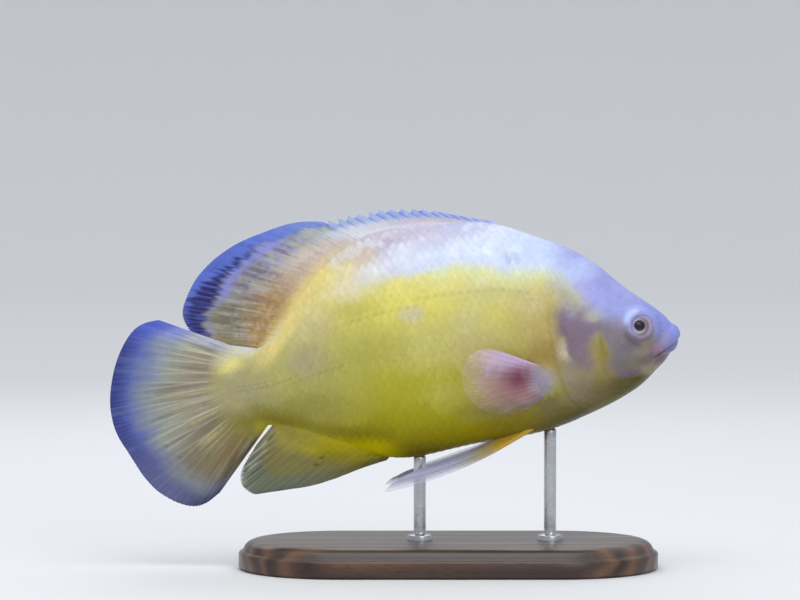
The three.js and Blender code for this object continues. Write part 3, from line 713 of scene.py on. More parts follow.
eyeMaterial = wetMaterial("wetEye", {
    "mottle": 0.08, "mottleSize": 0.8, "poreSize": 0.35, "poreDepth": 0.02, "roughness": (0.2, 0.32),
    "coat": 0.5, "coatRoughness": 0.06, "specular": 0.35,
})
lensMaterial = wetMaterial("darkLens", {
    "mottle": 0.1, "mottleSize": 0.8, "poreSize": 0.3, "poreDepth": 0.004, "roughness": (0.06, 0.12),
    "coat": 0.25, "coatRoughness": 0.03, "specular": 0.3,
})
irisLook = {
    # Radius from the pupil outwards in millimetres, with a colour.
    "rings": [
        (0.0, (26, 15, 34)), (2.55, (32, 19, 38)), (2.75, (92, 76, 96)), (3.0, (124, 110, 130)),
        (3.6, (140, 128, 150)), (4.4, (142, 132, 158)), (5.2, (152, 146, 180)), (7.0, (150, 148, 190)),
    ],
    "warm": (118, 92, 102), "cool": (150, 146, 196), "lens": (24, 13, 30), "lensEdge": (48, 32, 46),
    # Pale and dark marks: degrees round the pupil, radius, reach along and across in millimetres, colour,
    # strength.
    "marks": [
        # The pale mark at 232 degrees is a painted highlight, and the dark mark at 80 degrees is painted
        # shadow under the upper rim.
        (232, 3.65, 2.6, 1.0, (190, 180, 206), 0.8), (272, 3.25, 2.2, 0.5, (196, 184, 200), 0.8),
        (80, 4.3, 3.0, 0.5, (104, 98, 122), 0.6), (15, 5.3, 5.0, 0.7, (170, 158, 180), 0.4),
        (130, 3.2, 2.4, 0.5, (176, 168, 198), 0.5), (285, 4.3, 3.4, 0.9, (120, 106, 112), 0.85),
        (30, 4.4, 2.4, 0.8, (126, 108, 118), 0.6), (165, 3.1, 1.8, 0.45, (92, 88, 128), 0.6),
    ],
}


# The iris by distance and angle from the pupil's middle: rings, a warm front and a cool rear, marks that lie
# along circles, and fine streaks that run outwards.
def irisColour(points, fromPupil, turn):
    colours = byHeight(irisLook["rings"], fromPupil * (1 + 0.02 * np.sin(turn - 0.6)))
    away = ease(fromPupil, 2.55, 3.0)
    warm = away * (1 - ease(fromPupil, 4.0, 5.2)) * ease(np.cos(turn + 0.1), 0.1, 0.8)
    layers = [
        (irisLook["warm"], 0.9 * warm),
        (irisLook["cool"], 0.8 * away * ease(np.cos(turn - 3.0), 0.2, 0.9)),
    ]
    for degrees, middle, along, across, tone, strength in irisLook["marks"]:
        turned = turn - math.radians(degrees)
        beside = fromPupil * np.sin(turned) / along
        mark = np.exp(-(beside**2) - ((fromPupil - middle) / across) ** 2) * (np.cos(turned) > 0)
        layers.append((tone, strength * mark))
    streaked = 1 + 0.05 * np.sin(turn * 46 + 3 * grain(points, 1.2, 31)) * ease(fromPupil, 2.6, 3.4)
    return paint(colours, layers) * (streaked * (1 + 0.06 * grain(points, 0.8, 32)))[:, None]


# Faces of rings of points in rows, closed by a fan to a last point at each end. The two last points come
# after the rings.
def turnedFaces(rows, count):
    first = np.arange(count)
    last = first + (rows - 1) * count
    return [
        gridFaces(rows, count),
        np.stack([first, np.roll(first, -1), np.full(count, rows * count)], -1),
        np.stack([np.roll(last, -1), last, np.full(count, rows * count + 1)], -1),
    ]


# A profile of [radius, height] carried round the eye's axis, with the radius and the turn of each point.
def turnedPiece(profile, count, centre, side):
    turn = np.arange(count) / count * 2 * np.pi
    wheel = np.cos(turn)[:, None] * -eyeBack + np.sin(turn)[:, None] * eyeUp
    radius, height = profile[1:-1, 0, None, None], profile[1:-1, 1, None, None]
    rings = (np.asarray(centre) + radius * wheel + height * eyeAxis).reshape(-1, 3)
    ends = np.asarray(centre) + profile[[0, -1], 1, None] * eyeAxis
    points = np.concatenate([rings, ends]) * (1, side, 1)
    rows = len(profile) - 2
    radii = np.concatenate([np.repeat(profile[1:-1, 0], count), profile[[0, -1], 0]])
    turns = np.concatenate([np.tile(turn, rows), [0, 0]])
    faces = turnedFaces(rows, count)
    if side < 0:
        faces = [block[:, ::-1] for block in faces]
    return points, faces, radii, turns


# The front is a flattened dome that closes behind the rim, and the lens is the front of a ball that fills the
# pupil. The pupil lies a little behind the dome's middle.
def makeEye(name, side):
    mirror = (1, side, 1)
    r = np.linspace(0, 1, eye["rings"]) ** 0.9 * eye["radius"]
    dome = eye["bulge"] * np.sqrt(np.clip(1 - (r / (eye["radius"] + 0.3)) ** 2, 0, 1))
    profile = np.concatenate([np.stack([r, dome], -1), eye["back"]])
    points, faces, radius, turn = turnedPiece(profile, eye["around"], eye["centre"], side)
    height = ((points - np.array(eye["centre"]) * mirror) * mirror) @ eyeAxis
    ahead, above = radius * np.cos(turn) + eye["pupilBack"], radius * np.sin(turn)
    fromPupil, aroundPupil = np.hypot(ahead, above), np.arctan2(above, ahead)
    relief = eye["pupilRimHeight"] * bump(fromPupil - eye["pupilRim"], 0.3)
    relief = relief - eye["pupilDepth"] * (1 - ease(fromPupil, *eye["pupilSlope"]))
    points = points + (relief * (height > 0))[:, None] * eyeAxis * mirror
    iris = makePiece("iris_" + name, points, faces, eyeMaterial, irisColour(points, fromPupil, aroundPupil))
    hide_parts("eye_" + name)
    angle = np.linspace(0, np.pi, eye["lensRings"])
    ball = np.stack([eye["lens"] * np.sin(angle), -0.15 + eye["lens"] * 0.92 * np.cos(angle)], -1)
    centre = eye["centre"] + eye["pupilBack"] * eyeBack
    points, faces, radius, _ = turnedPiece(ball, eye["lensAround"], centre, side)
    colours = between(irisLook["lens"], irisLook["lensEdge"], 0.5 * ease(radius, 1.2, 2.4))
    lens = makePiece("lens_" + name, points, faces, lensMaterial, colours)


for name, side in (("right", -1), ("left", 1)):
    makeEye(name, side)
print("eyes made")


# Fins: thin closed sheets between a root and a margin. s runs from front to rear, r from root to margin.
# Points without a y lie in the fish's middle plane. wave holds heights, numbers of waves and phases.

fins = {
    "dorsal_fin_spiny": {
        "root": [(-79, 61), (-98, 64), (-123, 65.3), (-149.6, 62.6)],
        "margin": [(-84, 66.8), (-99, 71), (-113.8, 75.8), (-128, 78.2), (-142, 78.6), (-156, 77.6),
                   (-169, 76.6)],
        "thick": (3.0, 0.45), "rays": 17, "perRay": 12, "rows": 44, "rayHeight": 0.26, "rayWidth": 0.5,
        "notch": 0.2, "wave": [(0.8, 1.3, 0.2)],
    },
    "dorsal_fin_soft": {
        "root": [(-147.4, 63.4), (-164.8, 55), (-180, 40), (-190.2, 27.6), (-202, 17.6)],
        "margin": [(-166.3, 76.2), (-181, 77.6), (-196.5, 74.7), (-211, 70.4), (-223.5, 63.4), (-232.5, 55.5),
                   (-239, 45.5), (-240.8, 37.5), (-236.9, 28.8), (-228.5, 24.1)],
        "thick": (3.6, 0.4), "rays": 19, "splits": (0.4, 0.7), "rows": 84,
        "rayHeight": 0.2, "rayWidth": 0.42,
        "notch": 0.018, "wave": [(1.6, 1.4, 0.1), (0.7, 3.2, 0.5)], "lean": 2.2,
    },
    "anal_fin": {
        "root": [(-144.5, -39.2), (-158, -35), (-171, -29.6), (-186, -23), (-200, -16.5)],
        "margin": [(-150, -43.8), (-163.4, -46.3), (-175, -49.2), (-188, -51.7), (-200, -52.3), (-211, -52.6),
                   (-217.7, -52.2), (-221.8, -48), (-222.3, -42), (-218, -35), (-211, -26.8)],
        "thick": (3.4, 0.4), "rays": 18, "splits": (0.42, 0.72), "rows": 72,
        "rayHeight": 0.2, "rayWidth": 0.42,
        "notch": 0.055, "wave": [(1.4, 1.2, 0.4), (0.6, 3.0, 0.1)], "lean": -1.8,
    },
    "tail_fin": {
        "root": [(-208.5, 16.5), (-215, 6.8), (-216.4, -1.5), (-214, -10.6), (-204.5, -18.4)],
        "margin": [(-252.5, 38.3), (-262.9, 36.4), (-271, 28.3), (-276.9, 17), (-280.4, 5), (-281.3, -4),
                   (-279.8, -14.5), (-275.2, -25), (-269.5, -37), (-261.5, -47.5), (-251, -54), (-242, -54.5),
                   (-233.3, -49.5)],
        "thick": (4.6, 0.4), "rays": 17, "splits": (0.3, 0.62), "rows": 96,
        "rayHeight": 0.22, "rayWidth": 0.46,
        "notch": 0.006, "wave": [(2.4, 1.1, 0.3), (0.9, 2.7, 0.0)],
    },
    "pectoral_fin": {
        "root": [(-60.5, 16.4, -10.2), (-61.0, 15.6, -13.6), (-61.5, 14.0, -17.0)],
        "margin": [(-90.5, 5.8), (-99.3, 6.6), (-105.5, 2.6), (-108.6, -4), (-108.4, -11.4), (-105.4, -17.8),
                   (-99, -23.2), (-90, -26.6), (-80, -26.2)],
        "thick": (2.2, 0.35), "rays": 14, "splits": (0.4, 0.7), "rows": 64,
        "rayHeight": 0.12, "rayWidth": 0.36,
        "notch": 0.01, "wave": [(1.2, 1.5, 0.0), (0.5, 3.5, 0.3)], "outward": (28, 26), "curl": 0.3,
    },
    "pelvic_fin": {
        "root": [(-75, 9.5, -35.4), (-80, 7.5, -36.4), (-86, 5, -37.2)],
        "margin": [(-152.4, -57.3), (-150.5, -55.4), (-146, -53), (-137, -49.8), (-124, -46.2),
                   (-108, -42.8)],
        "thick": (2.6, 0.4), "rays": 6, "splits": (0.3, 0.55), "rows": 90,
        "rayHeight": 0.16, "rayWidth": 0.45,
        "notch": 0.0, "wave": [(0.8, 0.8, 0.1)], "outward": (7, 0), "sag": 4.5,
    },
}


# The middle of the sheet: straight rays, a little curl or sag, and waves that grow towards the margin.
def finMiddle(fin, s, r):
    root = curveThrough(counted(fin["root"]))(s * (len(fin["root"]) - 1))
    margin = curveThrough(counted(fin["margin"]))(s * (len(fin["margin"]) - 1))
    flat = margin - root[..., [0, -1]]
    length = np.hypot(flat[..., 0], flat[..., 1])
    x, z = root[..., 0] + flat[..., 0] * r, root[..., -1] + flat[..., 1] * r
    z = z - fin.get("sag", 0) * 4 * r * (1 - r) * (1 - s)
    y = root[..., 1] if root.shape[-1] == 3 else np.zeros_like(x)
    if "outward" in fin:
        angle = np.radians(fin["outward"][0] + (fin["outward"][1] - fin["outward"][0]) * s)
        y = y + length * np.tan(angle) * r * (1 + fin.get("curl", 0) * (1 - r))
    for height, cycles, phase in fin["wave"]:
        y = y + height * np.maximum(r, 0) ** 1.6 * np.sin(2 * np.pi * (cycles * s + phase + 0.12 * r))
    y = y + fin.get("lean", 0) * r**2 * ease(s, 0.55, 1.0)
    return np.stack([x, y, z], -1)


# How near a ray's middle is, from 0 to 1. A soft ray parts in two at each of its splits, so that its
# branches stand evenly spaced at the margin.
def rayNearness(fin, s, r, spacing):
    off = np.abs(s * (fin["rays"] - 1) - np.round(s * (fin["rays"] - 1)))
    first, second = 0.0 * s, 0.0 * s
    if "splits" in fin:
        first = 0.25 * ease(r, fin["splits"][0], fin["splits"][0] + 0.5) ** 0.7
        second = 0.125 * ease(r, fin["splits"][1], fin["splits"][1] + 0.4) ** 0.7
    width = np.minimum(fin["rayWidth"] * (1 - 0.55 * r) / spacing, 0.2)
    return np.maximum(bump(off - first - second, width), bump(off - np.abs(first - second), width))


# One face of the fin, 1 for the left and -1 for the right: the middle of the sheet plus half its thickness
# along the normal. The thickness falls from root to margin, swells at the rays, and each ray is jointed.
def finFace(fin, s, r, face):
    middle = finMiddle(fin, s, r)
    acrossIt = finMiddle(fin, s + 0.003, r) - finMiddle(fin, s - 0.003, r)
    outward = np.cross(acrossIt, finMiddle(fin, s, r + 0.01) - finMiddle(fin, s, r - 0.01))
    outward /= np.maximum(np.linalg.norm(outward, axis=-1, keepdims=True), 1e-9)
    near = rayNearness(fin, s, r, np.linalg.norm(acrossIt, axis=-1) / 0.006 / (fin["rays"] - 1))
    half = (fin["thick"][1] + (fin["thick"][0] - fin["thick"][1]) * np.clip(1 - r, 0, 1) ** 2.2) / 2
    joints = 1 + 0.12 * np.sin(2 * np.pi * r * fin["rows"] / 4)
    half = half + fin["rayHeight"] * near * (1 - 0.65 * r) * joints
    half = half * (0.25 + 0.75 * ease(np.minimum(s, 1 - s), 0, 0.6 / (fin["rays"] - 1)))
    half = half * (1 - 0.6 * ease(r, 0.985, 1)) * face
    bow = 0.1 * np.cos(2 * np.pi * s * (fin["rays"] - 1)) * r
    return middle + outward * (half + bow)[..., None], near, outward * np.where(outward[..., 1:2] < 0, -1, 1)


# Both faces of a fin on one grid, joined at the margin and the root, and closed by a strip at the front and
# at the rear. The margin is cut in between the rays.
def makeFin(name, node, colouring, side=1):
    fin = fins[node]
    gaps = fin["rays"] - 1
    columns, rows = gaps * fin.get("perRay", 16) + 1, fin["rows"]
    s, r = np.meshgrid(np.linspace(0, 1, columns), np.linspace(0, 1, rows) ** 0.9, indexing="ij")
    if "splits" not in fin:  # lappets: highest just behind each spine, cut in before the next
        gap = s * gaps % 1
        spine = np.round((s * gaps - gap) * 3.7)[..., None] * (1, 0, 0)
        cut = fin["notch"] * (0.2 + 0.8 * ease(s, 0.15, 0.5)) * (1 + 0.4 * grain(spine, 1.0, 71))
        reach = 1 - cut * np.minimum(gap / 0.94, 1) ** 0.75 * (1 - ease(gap, 0.94, 1.0))
    else:
        _, near, _ = finFace(fin, s, r, 1)
        ragged = 0.7 + 0.6 * grain(finMiddle(fin, s, r)[:, -1:], 6.0, 41)
        reach = 1 - fin["notch"] * (0.3 + 1.3 * ease(s[:, -1:], 0.55, 0.9)) * (1 - near[:, -1:]) * ragged
    left, near, _ = finFace(fin, s, r * reach, 1)
    right, _, _ = finFace(fin, s, r * reach, -1)
    s, r, near, points = (
        np.concatenate([first, second[:, ::-1]], axis=1).reshape(-1, *first.shape[2:])
        for first, second in ((s, s), (r * reach, r * reach), (near, near), (left, right))
    )
    j = np.arange(rows - 1)
    strip = np.stack([j, j + 1, 2 * rows - 2 - j, 2 * rows - 1 - j], -1)
    faces = [gridFaces(columns, 2 * rows), strip, strip[:, ::-1] + (columns - 1) * 2 * rows]
    piece = makePiece(name, points * (1, side, 1), faces, finMaterial, colouring(s, r, near, points))
    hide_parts(name)


# A fin's colours with how dense the fin is at each point.
def withAlpha(colour, alpha):
    return np.concatenate([colour, alpha[:, None]], axis=1)


# Streaks that run along the rays: noise that is fine across them and long beside them.
def streaks(fin, s, r, fineness, seed, length=0.2):
    place = np.stack([s * (fin["rays"] - 1) * fineness, r / length, 0 * s], -1)
    return grain(place, 1.0, seed)


# The next functions colour the fins in layers, from the middle colours over the root to the margin, by s, r,
# how near a ray is, and noise. At its root a fin takes on the body's colour.
def spinyColour(s, r, near, points):
    noise = grain(points, 2.2, 51)
    gap = s * (fins["dorsal_fin_spiny"]["rays"] - 1) % 1
    slit = bump(gap - 0.86, 0.08) * ease(r, 0.5, 0.7)
    late = between((222, 224, 230), (164, 178, 216), ease(r + 0.05 * noise, 0.6, 0.76))
    colour = paint(between((148, 166, 226), (186, 202, 248), 0.4 * near + 0.3 * noise + 0.3), [
        ((214, 204, 206), (0.8 + 0.2 * noise) * (1 - ease(r + 0.05 * noise, 0.5, 0.68))),  # lower part
        ((224, 222, 236), 0.8 * (1 - ease(r, 0.3, 0.45))),
        ((184, 200, 250), 0.5 * (1 - ease(gap, 0.1, 0.5)) * ease(r, 0.62, 0.9)),  # tips of the lappets
        ((84, 98, 160), 0.7 * slit),
        (late, 0.75 * ease(s, 0.56, 0.9) * (1 - slit)),
        ((170, 180, 228), 0.6 * (1 - ease(s, 0.04, 0.18)) * ease(r, 0.1, 0.4)),  # first spine
    ])
    return withAlpha(colour, 1 - 0.1 * slit)


def softDorsalColour(s, r, near, points):
    fin = fins["dorsal_fin_soft"]
    wide, fine = grain(points * [0.5, 1, 0.5], 6, 52), grain(points, 1.4, 53)
    thin, broad = streaks(fin, s, r, 5.0, 60), streaks(fin, s, r, 1.6, 61)
    ragged = thin + 0.6 * broad + 0.5 * fine
    front = 1 - ease(s + 0.12 * wide + 0.04 * broad, 0.16, 0.66)
    band = between((226, 198, 126), (230, 208, 170), front)
    haze = between((144, 138, 114), (150, 150, 176), 1 - ease(s + 0.1 * wide, 0.3, 0.66))
    haze = paint(haze, [((176, 184, 180), 1 - ease(s, 0.06, 0.26))])
    # The navy band starts at inner and the blue rim outside it at start, both with combed edges.
    inner = 0.76 - 0.04 * bump(s - 0.6, 0.06) + 0.03 * ease(s, 0.66, 0.74) + 0.012 * thin
    line = bump(r - inner + 0.03 + 0.02 * thin, 0.06) * ease(s, 0.16, 0.3) * (1 - ease(s, 0.56, 0.7))
    fringe = bump(r - inner + 0.035 + 0.02 * thin, 0.04) * ease(s, 0.56, 0.7)
    navy = ease(r - inner - 0.024 * thin - 0.006 * broad, -0.035, 0.045)
    navy = navy * ease(s + 0.3 * (r - 0.8), 0.25, 0.39)
    deep = between((44, 50, 128), (32, 34, 100), ease(s, 0.4, 0.62))
    start = 0.78 + 0.05 * ease(s, 0.2, 0.4) + 0.11 * ease(s, 0.44, 0.68)
    comb = ease(thin + 0.4 * broad, 0.1, 0.9) * ease(s, 0.2, 0.4) * (1 - ease(r, 0.86, 1))
    rim = paint(between((122, 144, 216), (98, 120, 212), ease(s, 0.1, 0.25)), [
        ((78, 86, 160), ease(s, 0.6, 0.85)),
        ((66, 78, 172), 0.6 * comb),
    ])
    pale = between((214, 202, 202), (212, 216, 232), ease(r, 0.24, 0.4))
    colour = paint(between((168, 134, 84), (216, 200, 186), front), [
        ((200, 168, 116), 0.5 * ease(fine + wide, -0.1, 0.9) * bump(r - 0.22, 0.2)),
        (band, 0.95 * (1 - ease(r + 0.04 * wide + 0.02 * thin, 0.08, 0.22))),
        (haze, ease(r + 0.05 * wide + 0.03 * thin, 0.28, 0.54)),
        ((190, 188, 192), 0.45 * ease(ragged, 0.05, 0.9) * bump(r - 0.46, 0.3)),
        ((104, 92, 100), 0.6 * ease(-ragged, 0.05, 0.9) * bump(r - 0.52, 0.28)),
        ((178, 182, 106), 0.5 * ease(broad + 0.5 * fine, 0.4, 0.9) * bump(r - 0.56, 0.12)),
        ((136, 144, 222), (0.75 + 0.2 * fine) * line),
        ((146, 148, 182), 0.55 * fringe),
        (deep, 0.97 * navy),
        ((96, 104, 188), (0.42 * near + 0.5 * ease(-thin, 0.1, 0.8)) * navy),
        (rim, 0.95 * ease(r - start - 0.05 * thin + 0.03 * near, -0.03, 0.05)),
        (pale, 0.85 * (1 - ease(s, 0.03, 0.16)) * (1 - ease(r, 0.5, 0.72))),  # first rays
        ((138, 122, 84), 0.75 * ease(s, 0.86, 0.94) * ease(r, 0.2, 0.4)),  # last rays
    ])
    colour = blend(bodyColour(points), colour, ease(r + 0.03 * wide, 0.02, 0.13))
    return withAlpha(colour, 1 - 0.04 * ease(r, 0.7, 1) * (1 - near))


# Small flecks of one colour, so many millimetres long and tall.
def addFlecks(colour, points, tone, strength, long, tall, places):
    for x, z in places:
        away = np.hypot((points[:, 0] - x) / long, (points[:, 2] - z) / tall)
        colour = paint(colour, [(tone, strength * (1 - ease(away, 0.3, 1.4)))])
    return colour


def analColour(s, r, near, points):
    wide = grain(points * [0.5, 1, 0.5], 6, 54)
    thin = streaks(fins["anal_fin"], s, r, 2.4, 62)
    out = r + 0.08 * wide + 0.18 * ease(s, 0.1, 0.45) + 0.06 * bump(s - 0.6, 0.14) - 0.2
    gold = paint(between((184, 170, 0), (164, 153, 66), ease(s, 0.45, 0.8)), [
        ((148, 136, 0), ease(r, 0.12, 0.36) * (1 - ease(s, 0.45, 0.65))),
        ((164, 153, 66), ease(s, 0.7, 0.9)),
    ])
    olive = between((122, 112, 26), (130, 123, 70), ease(s, 0.12, 0.42))
    grey = between((102, 94, 36), (112, 117, 96), ease(s, 0.1, 0.42))
    border = ease(r + 0.05 * wide, 0.84, 0.98) * ease(s, 0.2, 0.45) * (1 - 0.5 * ease(s, 0.5, 0.8))
    rear = ease(s + 0.35 * r, 0.86, 1.14) * ease(r, 0.2, 0.5)
    colour = paint(gold, [
        (olive, ease(out, 0.22, 0.46)),
        (grey, ease(r + 0.06 * wide, 0.54, 0.78)),
        ((96, 100, 108), 0.6 * border),
        ((96, 88, 34), 0.7 * (1 - ease(s, 0.04, 0.24)) * ease(r, 0.45, 0.85)),  # first rays
        ((160, 156, 108), 0.1 * ease(thin, 0.0, 0.8) * ease(r, 0.15, 0.4)),
        ((96, 92, 62), 0.1 * ease(-thin, 0.0, 0.8) * ease(r, 0.15, 0.4)),
        ((194, 196, 182), 0.62 * np.maximum(0.8 * near, ease(thin, 0.2, 0.8)) * rear),
        ((70, 68, 80), 0.5 * (1 - near) * rear * ease(-thin, -0.2, 0.6)),
        ((132, 122, 90), 0.7 * ease(s, 0.9, 0.98) * ease(r, 0.16, 0.34)),
    ])
    colour = addFlecks(colour, points, (84, 72, 36), 0.7, 1.6, 0.9, [(-181.2, -38.6), (-184.6, -41.6)])
    colour = blend(bodyColour(points), colour, ease(r + 0.03 * wide, 0.02, 0.14))
    return withAlpha(colour, 1 - 0.06 * ease(r, 0.6, 1) * (1 - near))


def tailColour(s, r, near, points):
    fin = fins["tail_fin"]
    wide, fine = grain(points * [0.4, 1, 0.6], 6.0, 56), grain(points, 1.6, 57)
    thin, broad = streaks(fin, s, r, 5.0, 63, 0.3), streaks(fin, s, r, 1.6, 64, 0.4)
    light, dark = ease(thin + 0.5 * broad, 0.1, 1.0), ease(-thin - 0.5 * broad, 0.1, 1.0)
    inside = ease(r, 0.06, 0.25) * (1 - 0.6 * ease(r, 0.6, 0.8)) * (1 - 0.5 * ease(s, 0.6, 0.8))
    brown = between((132, 121, 44), (128, 116, 84), ease(r, 0.2, 0.5))
    fleck = ease(broad + 0.4 * fine + 0.3 * near, 0.4, 1.0) * bump(s - 0.6, 0.2) * bump(r - 0.42, 0.25)
    blue = between((80, 96, 176), (100, 102, 136), ease(s, 0.5, 0.8))
    outer = r + 0.06 * wide + 0.03 * broad - 0.02 - 0.02 * ease(s, 0.16, 0.4) - 0.03 * ease(s, 0.6, 0.85)
    deep = between((50, 60, 134), (98, 102, 146), ease(s, 0.45, 0.75))
    deep = paint(deep, [((72, 74, 112), ease(s, 0.74, 0.9))])
    colour = paint(between((170, 158, 122), (162, 152, 130), ease(r + 0.08 * wide, 0.1, 0.4)), [
        ((158, 164, 150), ease(r + 0.08 * wide, 0.42, 0.66)),
        (brown, 0.92 * ease(s + 0.06 * wide, 0.56, 0.82) * (1 - ease(r, 0.62, 0.86))),  # lower lobe
        ((92, 82, 50), 0.85 * ease(s, 0.86, 0.97) * (1 - ease(r, 0.66, 0.9))),
        ((240, 228, 144), 0.85 * bump(s - 0.13, 0.12) * (1 - ease(r, 0.12, 0.3))),
        ((184, 188, 212), 0.95 * (1 - ease(s, 0.03, 0.13)) * ease(r, 0.05, 0.15)),  # top rays
        # Pale streaks run along the rays; the dark streaks between them are partly painted thin shadows
        # beside the rays.
        ((210, 210, 184), (0.45 * light + 0.3 * near) * inside),
        ((104, 94, 82), (0.4 * dark + 0.14 * (1 - near)) * inside),
        ((134, 106, 66), 0.5 * bump(s - 0.86, 0.1) * bump(r - 0.38, 0.2)),
        ((192, 192, 112), 0.55 * fleck),
        ((148, 160, 178), 0.45 * bump(r - 0.68, 0.09) * (1 - ease(s, 0.2, 0.45))),
        (blue, 0.95 * ease(outer, 0.56, 0.84)),
        (deep, 0.95 * ease(r + 0.04 * wide + 0.03 * thin, 0.8, 0.96)),
        ((142, 158, 232), 0.5 * (1 - ease(s, 0.04, 0.16)) * bump(r - 0.73, 0.08)),
        ((88, 108, 214), 0.7 * (1 - ease(s, 0.04, 0.2)) * ease(r, 0.74, 0.9)),
        ((160, 172, 204), (0.06 * near + 0.16 * light) * ease(r, 0.6, 0.8)),
    ])
    colour = colour * (1 - 0.38 * ease(s, 0.8, 0.95) * ease(r, 0.2, 0.5))[..., None]
    flecks = [(-250.5, -30.0), (-266.5, -19.0), (-256.5, -23.5)]
    colour = addFlecks(colour, points, (96, 90, 100), 0.5, 1.3, 0.8, flecks)
    colour = blend(bodyColour(points), colour, ease(r + 0.05 * wide + 0.04 * thin, 0.06, 0.3))
    return withAlpha(colour, 1 - 0.06 * ease(r, 0.75, 1) * (1 - near))


def pectoralColour(s, r, near, points):
    wide = grain(points, 4.0, 58)
    thin = streaks(fins["pectoral_fin"], s, r, 1.6, 65)
    low = between((112, 100, 120), (140, 122, 112), ease(r, 0.3, 0.6))
    core = np.exp(-(((s + 0.03 * wide - 0.38) / 0.34) ** 2) - ((r + 0.03 * wide - 0.42) / 0.22) ** 2)
    corner = 1 - ease(s, 0.02, 0.24) + ease(s, 0.78, 0.98)
    colour = paint(between((222, 198, 220), (190, 150, 146), ease(s + 0.08 * wide, 0.2, 0.55)), [
        (low, 0.9 * ease(s + 0.08 * wide, 0.56, 0.9)),
        ((226, 202, 186), 0.7 * ease(r + 0.12 * wide, 0.66, 0.95) * (1 - ease(s, 0.5, 0.8))),
        ((216, 196, 200), 0.08 * near + 0.12 * ease(thin, 0, 0.8)),
        ((122, 62, 80), core),
        ((198, 172, 212), 0.8 * bump(s - 0.06, 0.14) * bump(r - 0.62, 0.26)),  # upper edge
        ((158, 147, 164), 0.95 * (1 - ease(r + 0.03 * wide, 0.24, 0.42))),  # fleshy root
        (bodyColour(points), corner * (1 - ease(r, 0.22, 0.46))),
    ])
    dense = 0.22 * (1 - ease(s, 0.08, 0.4))
    return withAlpha(colour, 1 - 0.92 * ease(r + 0.08 * wide - dense, 0.42, 1.0) * (1 - 0.15 * near))


# Only the middle of the pelvic fin is dense. The rest is a clear sheet.
def pelvicColour(s, r, near, points):
    wide = grain(points, 5.0, 59)
    colour = paint(between((206, 168, 62), (176, 168, 132), ease(r + 0.05 * wide, 0.24, 0.42)), [
        ((178, 178, 208), ease(r + 0.05 * wide, 0.36, 0.62)),
        ((214, 214, 232), 0.4 * near * ease(r, 0.2, 0.5)),
    ])
    middle = np.exp(-(((s - 0.42) / (0.34 - 0.16 * r)) ** 2))
    clear = ease(r + 0.05 * wide, 0.2, 0.55)
    return withAlpha(colour, 1 - clear * (0.84 - 0.74 * middle - 0.08 * near))


middleFins = {
    "dorsal_fin_spiny": spinyColour, "dorsal_fin_soft": softDorsalColour, "anal_fin": analColour,
    "tail_fin": tailColour,
}
for name, colouring in middleFins.items():
    makeFin(name, name, colouring)
for name, side in (("right", -1), ("left", 1)):
    makeFin("pectoral_fin_" + name, "pectoral_fin", pectoralColour, side)
    makeFin("pelvic_fin_" + name, "pelvic_fin", pelvicColour, side)
print("fins made")


# Scales: rows along the body, each scale over the front of the next, laid out on the skin's own surface.

coat = {
    "length": 4.05, "row": 3.5,  # spacing along a row and between rows at mid-body
    "sizes": [(-225, 0.56), (-208, 0.64), (-190, 0.76), (-165, 0.92), (-140, 1.0), (-84, 1.0), (-68, 0.9),
              (-56, 0.76), (-40, 0.62)],  # size along the body, as a share of that at mid-body
    "half": 3.15, "front": 3.1, "rear": 2.75,  # outline of one scale
    # Depth of its front end, height of its rear one, fall at the sides and thickness.
    "sink": 0.24, "lift": 0.17, "crown": 0.09, "thick": 0.09,
    "tilt": 0.012, "sizeSpread": 0.04, "tintSpread": 0.018,
    # Lateral line, upper and lower part, and how far from it its scales lie.
    "lines": [[(-62, 25), (-72, 29.5), (-84, 33.5), (-94, 35.5), (-108, 35.5), (-124, 32.5), (-144, 30),
               (-159, 27.5), (-168, 24.5)],
              [(-164, 4.5), (-185, 2.5), (-205, 0.5), (-218, -0.5)]],
    "lineReach": 1.75, "tubeWidth": 0.6, "tubeHeight": 0.2,
    "tableRings": 190, "tableTurns": 721, "tableLengths": 761, "tableReach": 95,
    "bakePatch": 0.0014,  # half size of a scale's patch in its map
    "napeLine": [(-70, 33), (-54, 32.5), (-46, 28), (-38, 23.5), (-31, 21.5)],
}


# Arc length up from the widest line of the side, on a table of rings by turns, turned into turn by length.
# The turns start on the left side, so that the right side's widest line is half way along them.
tableU = np.linspace(5.0, lastRing, coat["tableRings"])
tableTurn = np.linspace(-np.pi / 2, 3 * np.pi / 2, coat["tableTurns"])
tableLength = np.linspace(-coat["tableReach"], coat["tableReach"], coat["tableLengths"])
ringPoints = bodyPoint(*np.meshgrid(tableU, tableTurn, indexing="ij"))
ringSteps = np.linalg.norm(np.diff(ringPoints, axis=1), axis=-1)
ringLength = np.concatenate([np.zeros((len(tableU), 1)), np.cumsum(ringSteps, axis=1)], axis=1)
upLength = ringLength[:, [len(tableTurn) // 2]] - ringLength
tableV = np.array([np.interp(tableLength, row[::-1], tableTurn[::-1]) for row in upLength])
backLength = np.array([np.interp(0, tableTurn, row) for row in upLength])
bellyLength = np.array([np.interp(np.pi, tableTurn, row) for row in upLength])
sideX = ringCurve(tableU)[:, 2]


# Ring and turn from q, the x of the side line, and t, the length up from it, both in millimetres.
def wherePoint(q, t):
    u = np.interp(-q, -sideX, np.arange(len(tableU)))
    w = (t - tableLength[0]) / (tableLength[1] - tableLength[0])
    i, j = np.clip(u.astype(int), 0, len(tableU) - 2), np.clip(w.astype(int), 0, len(tableLength) - 2)
    f, g = u - i, w - j
    v = (1 - f) * ((1 - g) * tableV[i, j] + g * tableV[i, j + 1])
    v = v + f * ((1 - g) * tableV[i + 1, j] + g * tableV[i + 1, j + 1])
    return np.interp(u, np.arange(len(tableU)), tableU), v


